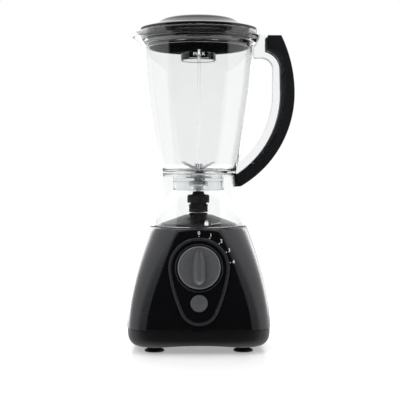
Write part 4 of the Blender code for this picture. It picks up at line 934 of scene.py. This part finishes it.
class Couplings(Piece, bpy.types.Operator):
    """Couplings: the toothed rubber driver on the motor shaft and the socket under the jug"""

    bl_idname = "countertop_blender.couplings"
    bl_label = "Couplings"

    def make(self, s):
        line = mm((4.3, 160.5), (11.6, 160.5, 0.8), (11.6, 164, 0.4), (10.9, 164.8, 0.4), (11.6, 165.6, 0.4), (11.6, 170.5, 1.2), (4.3, 170.5))
        driver = turned("driver", filleted(line, 4), 72)
        teeth = rounded(fixed(slab("teeth", star(0), 9 * MM), Matrix.Translation((0, 0, 169.5 * MM))), 0.6 * MM, 2, 60)
        cut(driver, teeth, "UNION")
        cut(driver, drum("bore", 4.3 * MM, 159 * MM, 172.3 * MM, 32))
        driver.name = driver.data.name = "toothed_driver"
        settled(placed(driver), "rubber", "rotor", "drive_coupling")

        line = mm((0, 186), (6.5, 186, 0.7), (7.5, 182.2, 1.0), (12, 182, 1.0), (13.5, 180.5, 0.8), (13.5, 172, 0.5), (0, 172))
        socket = turned("toothed_socket", filleted(line, 4), 72)
        well = fixed(slab("well", star(0.5 * MM), 8.3 * MM), Matrix.Translation((0, 0, 171 * MM)))
        cut(socket, well)
        cut(socket, drum("bore", 3.3 * MM, 180.8 * MM, 188 * MM, 32))
        settled(placed(socket), "rubber", "blades", "driven_coupling")


class SplashSeal(Piece, bpy.types.Operator):
    """Splash seal: the lipped ring on the seat around the motor shaft"""

    bl_idname = "countertop_blender.splash_seal"
    bl_label = "Splash seal"

    def make(self, s):
        crown = seat_z(16 * MM) / MM
        line = mm(
            (4.5, crown + 2.1, 0.3), (10.6, crown + 2.1, 0.6), (11.7, crown + 0.3), (8.7, crown + 0.3),
            (8.7, crown - 3.8), (4.5, crown - 3.8),
        )
        settled(placed(turned("splash_seal_ring", filleted(line, 4), 64)), "rubber", "base", "splash_seal")


# ---------------------------------------------------------------- jug


def jug_radius(z):
    """Outer radius of the jug's wall: a belly above the waist and a flared skirt below it."""
    s = sizes()
    if z >= WAIST_Z:
        share = max(0.0, (NECK_Z - z) / (NECK_Z - WAIST_Z))
        return s.neck_r - (s.neck_r - s.waist_r) * share**1.75
    share = (WAIST_Z - z) / (WAIST_Z - HOUSING_TOP_Z)
    return s.waist_r + (s.skirt_r - s.waist_r) * share**1.9


def dense(section, longest):
    """A closed section with its long straight runs divided."""
    points = []
    for here, ahead in zip(section, section[1:] + section[:1]):
        parts = max(1, math.ceil(math.dist(here, ahead) / longest))
        points += [tuple(Vector(here).lerp(Vector(ahead), i / parts)) for i in range(parts)]
    return points


def jug_outside(grow=0.0):
    """The jug's outer line from rim to skirt, for cutting what meets it."""
    s = sizes()
    line = [(s.rim_r, RIM_Z + 9 * MM), (s.rim_r, 372 * MM), (s.rim_r - 4.4 * MM, 366 * MM)]
    line += [(jug_radius(z), z) for z in spread(NECK_Z, WAIST_Z, 14) + spread(WAIST_Z, HOUSING_TOP_Z, 8)[1:]]
    return [(r + grow, z) for r, z in line]


def spout_swell(x, y, z):
    """How far the wall is drawn out at a point of the rim to make the pouring lip."""
    s = sizes()
    off = math.degrees(math.atan2(y, -x))
    reach = math.acos(s.rim_r / s.spout_reach)
    turn = math.radians(math.hypot(off, 2.2) - 2.2)
    if turn >= reach:
        return 0.0
    rise = min(1.0, max(0.0, (z - 370.5 * MM) / (6.5 * MM)))
    return (s.rim_r / math.cos(reach - turn) - s.rim_r) * rise * rise * (3 - 2 * rise)


# The handle is drawn in the plane of +X and +Z.
WIDE_Z = 306 * MM
TOP_Z = 376.2 * MM


def handle_centres():
    inner = sizes().handle_reach - 16.6 * MM
    return inner, (inner - 23.1 * MM, WIDE_Z + 29.5 * MM)


def outer_curve(inset, low_z, count=14):
    """The handle's outside from its top to a height below, as two tangent arcs."""
    reach = sizes().handle_reach
    top = math.degrees(math.asin((TOP_Z - WIDE_Z) / (160 * MM)))
    end = math.degrees(math.asin((low_z - WIDE_Z) / (131.5 * MM - inset)))
    upper = arc(reach - 160 * MM, WIDE_Z, 160 * MM - inset, top, 0, count)
    return upper[:-1] + arc(reach - 131.5 * MM, WIDE_Z, 131.5 * MM - inset, 0, end, count + 10)


def inner_curve(knuckle_r, lower_x, lower_r, low_z, start=90):
    """The inside, from the knuckle under the top block to a height below."""
    end = math.degrees(math.asin((low_z - WIDE_Z) / lower_r))
    knuckle = arc(*handle_centres()[1], knuckle_r, start, 0, 14)
    return knuckle + arc(lower_x, WIDE_Z, lower_r, 0, end, 22)


def core_outline(grow):
    """The clear bar moulded to the jug, which the black grip closes around."""
    inner, middle = handle_centres()
    knuckle = 14 * MM - grow
    inside = [(60 * MM, middle[1] + knuckle)]
    inside += inner_curve(knuckle, inner - 118 * MM, 108.7 * MM - grow, 214 * MM) + mm((40, 214))
    outside = [(x, z) for x, z in outer_curve(5 * MM - grow, 196 * MM) if z < TOP_Z - 4 * MM]
    covered, bare = TOP_Z - 5 * MM + grow, 81 * MM + grow
    top = [(outside[0][0] - 1 * MM, covered), (bare, covered), (bare, 378.5 * MM), (60 * MM, 378.5 * MM)]
    return inside + mm((40, 196)) + outside[::-1] + top


def upright(piece, width):
    """Turns a slab drawn as (x, height) upright, with its middle in the plane of the handle."""
    return fixed(piece, Matrix.Rotation(math.pi / 2, 4, "X") @ Matrix.Translation((0, 0, -width / 2)))


class Jug(Piece, bpy.types.Operator):
    """Jug: a clear wall with a skirt, floor and well, a drawn-out pouring lip, two stirring ribs and the handle's core"""

    bl_idname = "countertop_blender.jug"
    bl_label = "Jug"

    def make(self, s):
        rim, w = s.rim_r, s.jug_wall
        outer = [(rim, RIM_Z, 0.9 * MM), (rim - 0.5 * MM, 374 * MM, 4 * MM), (rim - 4.4 * MM, 366 * MM, 2 * MM)]
        outer += [(jug_radius(z), z) for z in spread(NECK_Z, 220 * MM, 26)]
        outer += [(jug_radius(WAIST_Z), WAIST_Z, 9 * MM)]
        low = HOUSING_TOP_Z + 0.3 * MM
        outer += [(jug_radius(z), z) for z in spread(203 * MM, low + 1 * MM, 9)] + [(jug_radius(low), low, 0.7 * MM)]
        under = [(jug_radius(low) - w, low, 0.7 * MM)] + [(jug_radius(z) - w, z) for z in spread(low + 1 * MM, 202 * MM, 9)]
        floor = [(jug_radius(208 * MM) - w, 208 * MM, 3 * MM)]
        floor += mm(
            (31, 208, 1), (31, 187.5, 0.8), (28.5, 187.5, 0.8), (28.5, 199, 0.6), (6.5, 199), (6.5, 202),
            (28.5, 202, 1.2), (28.5, 211, 1.4),
        )
        floor += [(jug_radius(WAIST_Z) - w, WAIST_Z, 5 * MM)]
        inner = [(jug_radius(z) - w, z) for z in spread(220 * MM, NECK_Z, 26)]
        shelf = [(rim - 4.4 * MM - w, 366 * MM, 2 * MM), (rim - w, 370.5 * MM, 2 * MM), (rim - w, RIM_Z, 0.9 * MM)]
        body = turned("jug_clear", dense(filleted(outer + under + floor + inner + shelf, 4), 6 * MM), 144)
        editing(body)
        bpy.ops.object.mode_set(mode="OBJECT")
        for vert in body.data.vertices:
            x, y, z = vert.co
            if z > NECK_Z and x < 0:
                radius = math.hypot(x, y)
                drawn = (radius + spout_swell(x, y, z)) / radius
                vert.co = (x * drawn, y * drawn, z)
        core = upright(slab("core", core_outline(0), 14 * MM), 14 * MM)
        trim = [(14 * MM, RIM_Z + 9 * MM)] + [(r - w / 2, z) for r, z in jug_outside()] + [(14 * MM, 135 * MM)]
        cut(core, turned("trim", trim, 72))
        cut(body, core, "UNION")
        for side in (-1, 1):
            heights = spread(213 * MM, 352 * MM, 24)
            wall = [(side * (jug_radius(z) - w + 0.8 * MM), z) for z in heights]
            edge = [(side * (jug_radius(z) - w - 2.2 * MM), z) for z in heights[:-1]]
            rib = rounded(upright(slab("rib", wall + edge[::-1], 3 * MM), 3 * MM), 0.9 * MM, 3)
            cut(body, fixed(rib, Matrix.Rotation(math.pi / 2, 4, "Z")), "UNION")
        settled(placed(body), "clear", "jug", "jug", "handle_core")


class JugMarks(Piece, bpy.types.Operator):
    """Jug marks: a printed fill mark on the wall and a small padlock sign on the skirt"""

    bl_idname = "countertop_blender.jug_marks"
    bl_label = "Jug marks"

    def make(self, s):
        def on_wall(middle_x, middle_z):
            def lay(x, y, lift):
                z = y + middle_z
                radius = jug_radius(z) + 0.07 * MM + lift
                turn = (x + middle_x) / radius
                return (radius * math.sin(turn), -radius * math.cos(turn), z)

            return lay

        marks = [printed("fill_word", "MAX", on_wall(0, 346 * MM), size=5.4 * MM, space_character=1.35)]
        bar = filleted(mm((-11, -0.3, 0.25), (11, -0.3, 0.25), (11, 0.3, 0.25), (-11, 0.3, 0.25)), 2)
        marks.append(inked("fill_line", bar, on_wall(0, 341.6 * MM)))
        sign = on_wall(9 * MM, 150 * MM)
        body = filleted(mm((-2.3, -3, 0.5), (2.3, -3, 0.5), (2.3, 0.8, 0.5), (-2.3, 0.8, 0.5)), 3)
        marks.append(inked("lock_body", body, sign))
        shackle = [(r * math.cos(t), 0.9 + r * math.sin(t)) for r, t in
                   [(1.7, math.pi * i / 12) for i in range(13)] + [(1.05, math.pi * i / 12) for i in range(12, -1, -1)]]
        marks.append(inked("lock_shackle", mm(*shackle), sign))
        line = filleted(mm((-6, -0.5, 0.3), (6, 0.9, 0.3), (6, 1.7, 0.3), (-6, 0.3, 0.3)), 2)
        marks.append(inked("lock_line", line, on_wall(21 * MM, 148.5 * MM)))
        settled(placed(joined("jug_prints", marks)), "ink", "jug", angle=0)


class HandleGrip(Piece, bpy.types.Operator):
    """Handle: the black grip that closes around the clear core, and the charcoal liner inside it"""

    bl_idname = "countertop_blender.handle_grip"
    bl_label = "Handle grip and liner"

    def make(self, s):
        inner, middle = handle_centres()
        seam_r = 116.2 * MM
        seam_x = inner + 5.3 * MM - seam_r
        knuckle = 22.5 * MM
        end = 192 * MM
        bare_top = math.degrees(math.asin((220.5 * MM - WIDE_Z) / (118 * MM)))
        bare_low = math.degrees(math.asin((206 * MM - WIDE_Z) / (118 * MM)))
        bare = arc(inner - 118 * MM, WIDE_Z, 118 * MM, bare_top, bare_low, 5)
        seam = inner_curve(knuckle + 5 * MM, seam_x, seam_r, 220.5 * MM, 74)
        left = 84.2 * MM
        outline = [(left, TOP_Z)] + outer_curve(0, end) + mm((40, 192), (40, 206)) + bare[::-1]
        outline += seam[::-1] + [(left, seam[0][1])]
        grip = rounded(upright(slab("handle_grip_shell", outline, s.grip_w), s.grip_w), 3.5 * MM, 5, 50)
        cut(grip, upright(slab("core_slot", core_outline(0.3 * MM), 14.6 * MM), 14.6 * MM))
        trim = mm((10, 389)) + jug_outside(0.6 * MM) + mm((10, 135))
        cut(grip, turned("trim", trim, 96))
        settled(placed(grip), "satin_black", "jug", "handle_grip")

        near = inner_curve(knuckle, inner - 118 * MM, 118 * MM, 220.8 * MM, 77)
        far = inner_curve(knuckle + 4.7 * MM, seam_x, seam_r - 0.3 * MM, 220.8 * MM, 74)
        top = TOP_Z - 2.5 * MM
        strip = [(82 * MM, near[0][1]), (82 * MM, top), (left - 0.3 * MM, top), (left - 0.3 * MM, far[0][1])]
        liner = upright(slab("handle_liner_strip", strip + far + near[::-1], 21 * MM), 21 * MM)
        rounded(liner, 1.1 * MM, 3, 50)
        cut(liner, upright(slab("core_slot", core_outline(0.3 * MM), 14.6 * MM), 14.6 * MM))
        settled(placed(liner), "charcoal", "jug", "handle_liner", slot="black_gloss_abs")


# ---------------------------------------------------------------- blade unit


def hexagon(across):
    return arc(0, 0, across / math.sqrt(3), 0, 300, 5)


class BladeUnit(Piece, bpy.types.Operator):
    """Blade unit: carrier with its nut, two bent and ground blades, a chamfered nut and the shaft"""

    bl_idname = "countertop_blender.blade_unit"
    bl_label = "Blade unit"

    def make(self, s):
        line = mm(
            (5.2, 210.5, 0.3), (8.2, 210.5, 0.6), (9.7, 206, 1.2), (16, 205.6, 0.8), (17, 204.9, 0.3), (17, 203.6, 0.2),
            (6.2, 203.6), (6.2, 187.5, 0.3), (5.2, 187.5),
        )
        carrier = turned("blade_carrier_turned", filleted(line, 4), 96)
        settled(placed(carrier), "steel", "jug", "blade_carrier")
        nut = fixed(slab("carrier_nut_hex", hexagon(20.4 * MM), 6 * MM), Matrix.Translation((0, 0, 192.7 * MM)))
        rounded(nut, 0.5 * MM, 2, 50)
        cut(nut, drum("bore", 6.5 * MM, 190 * MM, 201 * MM, 48))
        settled(placed(nut), "steel", "jug", "carrier_nut")

        for name, low, rise, turn in (("lower_blade", 211.1, -3.0, -38), ("upper_blade", 212.9, 8.5, 40)):
            blade = started(
                name + "_ground", bpy.ops.mesh.primitive_grid_add, x_subdivisions=48, y_subdivisions=8, size=2
            )
            for vert in blade.data.vertices:
                x = vert.co.x * s.blade_r
                out = max(0.0, abs(x) - 7.5 * MM) / (s.blade_r - 7.5 * MM)
                bend = rise * MM * (out if out > 0.12 else out * out / 0.12)
                half = 6 * MM * (1 - 0.55 * out**1.5)
                vert.co = (x, vert.co.y * half + math.copysign(2.4 * MM * out, x), bend)
            applied(blade, "SOLIDIFY", thickness=1.4 * MM, offset=1)
            rounded(blade, 0.5 * MM, 2, 60)
            cut(blade, drum("bore", 3.3 * MM, -5 * MM, 5 * MM, 32))
            place = Matrix.Translation((0, 0, low * MM)) @ Matrix.Rotation(math.radians(turn), 4, "Z")
            settled(placed(blade, place), "steel", "blades", name)

        nut = fixed(slab("blade_nut_hex", hexagon(9.4 * MM), 5.5 * MM), Matrix.Translation((0, 0, 214.7 * MM)))
        rounded(nut, 0.7 * MM, 2, 50)
        cut(nut, drum("bore", 3.2 * MM, 214 * MM, 218.6 * MM, 32))
        settled(placed(nut), "steel", "blades", "blade_nut")
        low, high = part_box("blade_shaft")
        line = [(0, high.z), (3 * MM, high.z, 0.5 * MM), (3 * MM, low.z, 0.4 * MM), (0, low.z)]
        settled(placed(turned("blade_shaft_ground", filleted(line, 3), 48)), "steel", "blades", "blade_shaft")


# ---------------------------------------------------------------- lid and cap


class LidAndSeal(Piece, bpy.types.Operator):
    """Lid: a shallow dome with a flange, a deep plug, a recess and sleeve for the cap, and its seal"""

    bl_idname = "countertop_blender.lid_and_seal"
    bl_label = "Lid and seal"

    def make(self, s):
        r, cap = s.lid_r / MM, s.cap_r / MM + 0.5
        line = mm(
            (cap, 396.0, 0.4), (cap + 2, 396.2, 0.8), (42, 396.1, 4), (46, 394.6, 8), (50, 391.6, 12), (55, 389.0, 14),
            (71, 384.3, 3), (r, 383.1, 0.7), (r, 380.3, 0.4), (63, 380.3), (63, 361, 0.8), (60.5, 361, 0.8),
            (60.5, 385.1, 2), (39, 390, 1.5), (24.5, 390, 0.8), (24.5, 372, 0.6), (22, 372, 0.6), (22, 392.6, 0.5),
            (cap, 392.6, 0.5),
        )
        settled(placed(turned("lid_dome", filleted(line, 5), 160)), "gloss_black", "lid", "lid")
        lip = s.rim_r / MM - s.jug_wall / MM - 3
        line = mm(
            (63.3, 371, 0.2), (65.4, 371, 0.4), (lip, 369.9, 0.25), (66, 369.4), (65.6, 369), (lip, 368.6, 0.25),
            (65.4, 368, 0.4), (63.3, 368, 0.2),
        )
        settled(placed(turned("lid_seal_ring", filleted(line, 3), 128)), "rubber", "lid", "lid_seal")


class MeasuringCap(Piece, bpy.types.Operator):
    """Measuring cap: a clear turned cup under a wide domed top that is painted black"""

    bl_idname = "countertop_blender.measuring_cap"
    bl_label = "Measuring cap"

    def make(self, s):
        r = s.cap_r / MM
        line = mm(
            (0, 400), (14.5, 399.3, 30), (23.5, 397.6, 20), (r - 1.8, 396.2, 1.2), (r, 394.9, 0.8), (r, 392.9, 0.3),
            (21.5, 392.9), (21.5, 346, 0.7), (19.7, 346, 0.7), (19.7, 395.5, 1.2), (12.5, 397.4, 6), (0, 398),
        )
        cap = turned("measuring_cap_cup", dense(filleted(line, 4), 8 * MM), 96)
        settled(placed(cap), "clear", "cap", "measuring_cap")
        cap.data.materials.append(finish_of("gloss_black"))
        for part in cap.data.polygons:
            off = (part.center - AXIS.translation).xy.length
            part.material_index = int(part.center.z > 392.8 * MM and (part.normal.z > 0.1 or off > 21.6 * MM))


# ---------------------------------------------------------------- inner parts

INNER = {
    "laminated": ("stator_core", "upper_bracket", "lower_bracket"),
    "copper": ("field_coil_front", "field_coil_rear", "armature", "commutator"),
    "steel": (
        "motor_shaft", "upper_bearing", "lower_bearing", "motor_bolt_left", "motor_bolt_right", "switch_spindle",
        "button_spring",
    ),
    "bronze": ("brush_holder_left", "brush_holder_right", "shaft_bush", "terminal_block"),
    "carbon": ("carbon_brush_left", "carbon_brush_right"),
    "satin_black": ("speed_switch", "pulse_switch", "cooling_fan"),
    "silicone": ("carrier_gasket",),
}


class InnerFinishes(Piece, bpy.types.Operator):
    """Inner parts: the motor, brushes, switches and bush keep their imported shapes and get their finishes"""

    bl_idname = "countertop_blender.inner_finishes"
    bl_label = "Finishes of the inner parts"

    def make(self, s):
        for finish, names in INNER.items():
            for name in names:
                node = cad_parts[name]
                for place in node.material_slots:
                    place.material = finish_of(finish)


# ---------------------------------------------------------------- stage


class Stage(Piece, bpy.types.Operator):
    """Stage: a plain white floor, a white studio that darkens behind the camera, soft lights and the camera"""

    bl_idname = "countertop_blender.stage"
    bl_label = "Floor, lights and camera"

    def make(self, s):
        scene = bpy.context.scene
        scene.view_settings.view_transform = "Standard"
        floor = started("floor", bpy.ops.mesh.primitive_plane_add, size=30)
        board, tree, shader = plain("board_lacquered_white", (0.78, 0.78, 0.78), IOR=1.3, Roughness=0.16)
        shader.inputs["Emission Color"].default_value = (1, 1, 1, 1)
        shader.inputs["Emission Strength"].default_value = 0.3
        floor.data.materials.append(board)
        floor.visible_glossy = False

        world = bpy.data.worlds.new("studio")
        scene.world = world
        world.use_nodes = True
        tree = world.node_tree
        tree.nodes.clear()
        way = add(tree, "TexCoord").outputs["Generated"]
        axes = add(tree, "SeparateXYZ", {"Vector": way})
        depth = add(
            tree, "MapRange", {"Value": axes.outputs["Y"], "From Min": -0.5, "From Max": -0.38, "To Min": 0.03, "To Max": 1.0},
            interpolation_type="SMOOTHSTEP",
        ).outputs["Result"]
        path = add(tree, "LightPath")
        direct = add(tree, "Math", {0: path.outputs["Glossy Depth"], 1: 0.5}, operation="LESS_THAN").outputs[0]
        through = add(tree, "Math", {0: path.outputs["Is Transmission Ray"], 1: direct}, operation="MULTIPLY").outputs[0]
        seen = add(tree, "Math", {0: path.outputs["Is Camera Ray"], 1: through}, operation="MAXIMUM")
        level = add(tree, "Mix", {0: seen.outputs[0], 2: depth, 3: 1.0}, data_type="FLOAT")
        light = add(tree, "Background", {"Color": (1, 1, 1, 1), "Strength": level.outputs[0]})
        add(tree, "OutputWorld", {"Surface": light.outputs[0]})

        middle = Vector((AXIS.translation.x, AXIS.translation.y, 0.2))
        for name, size, energy, place, glossy in (
            ("key", (1.4, 1.4), 22, (-1.0, -1.5, 1.5), False),
            ("fill", (1.6, 1.6), 10, (1.5, -1.3, 0.9), False),
            ("top", (1.6, 1.0), 12, (0.0, 0.2, 2.0), True),
            ("rim_left", (0.7, 1.4), 12, (-0.95, 1.5, 0.5), True),
            ("rim_right", (0.5, 1.2), 6, (0.95, 1.5, 0.5), True),
        ):
            bpy.ops.object.select_all(action="DESELECT")
            bpy.ops.object.light_add(type="AREA", location=place)
            lamp = bpy.context.object
            lamp.name = lamp.data.name = name
            lamp.data.shape = "RECTANGLE"
            lamp.data.size, lamp.data.size_y = size
            lamp.data.energy = energy
            lamp.rotation_euler = (middle - lamp.location).to_track_quat("-Z", "Y").to_euler()
            lamp.visible_camera = False
            lamp.visible_transmission = False
            lamp.visible_glossy = glossy

        bpy.ops.object.camera_add(
            location=(AXIS.translation.x - 0.012, AXIS.translation.y - 1.17, 0.206),
            rotation=(math.pi / 2, 0, math.radians(-0.685)),
        )
        camera = bpy.context.object
        camera.data.lens = 85.8
        camera.data.shift_y = -0.0625
        camera.data.clip_end = 60
        scene.camera = camera


PIECES = (
    MotorHousing,
    FrontPanel,
    DialBezel,
    DialMarks,
    SpeedKnob,
    PulseKey,
    BottomCover,
    FeetAndScrews,
    LeadGland,
    Couplings,
    SplashSeal,
    Jug,
    JugMarks,
    HandleGrip,
    BladeUnit,
    LidAndSeal,
    MeasuringCap,
    InnerFinishes,
    Stage,
)


class CountertopBlenderPanel(bpy.types.Panel):
    """Lists the sizes, the colours and a button for each piece"""

    bl_idname = "VIEW3D_PT_countertop_blender"
    bl_label = "Countertop blender"
    bl_space_type = "VIEW_3D"
    bl_region_type = "UI"
    bl_category = "Countertop blender"

    def draw(self, context):
        for group in (context.scene.countertop_blender_sizes, context.scene.countertop_blender_colours):
            column = self.layout.column(align=True)
            for name in group.__annotations__:
                column.prop(group, name)
        column = self.layout.column(align=True)
        for piece in PIECES:
            column.operator(piece.bl_idname)


CLASSES = (CountertopBlenderSizes, CountertopBlenderColours, *PIECES, CountertopBlenderPanel)


def register():
    for one in CLASSES:
        bpy.utils.register_class(one)
    scene = bpy.types.Scene
    scene.countertop_blender_sizes = bpy.props.PointerProperty(type=CountertopBlenderSizes)
    scene.countertop_blender_colours = bpy.props.PointerProperty(type=CountertopBlenderColours)


def unregister():
    del bpy.types.Scene.countertop_blender_sizes
    del bpy.types.Scene.countertop_blender_colours
    for one in reversed(CLASSES):
        bpy.utils.unregister_class(one)


def main():
    register()
    for piece in PIECES:
        group, name = piece.bl_idname.split(".")
        getattr(getattr(bpy.ops, group), name)()


if __name__ == "__main__":
    main()
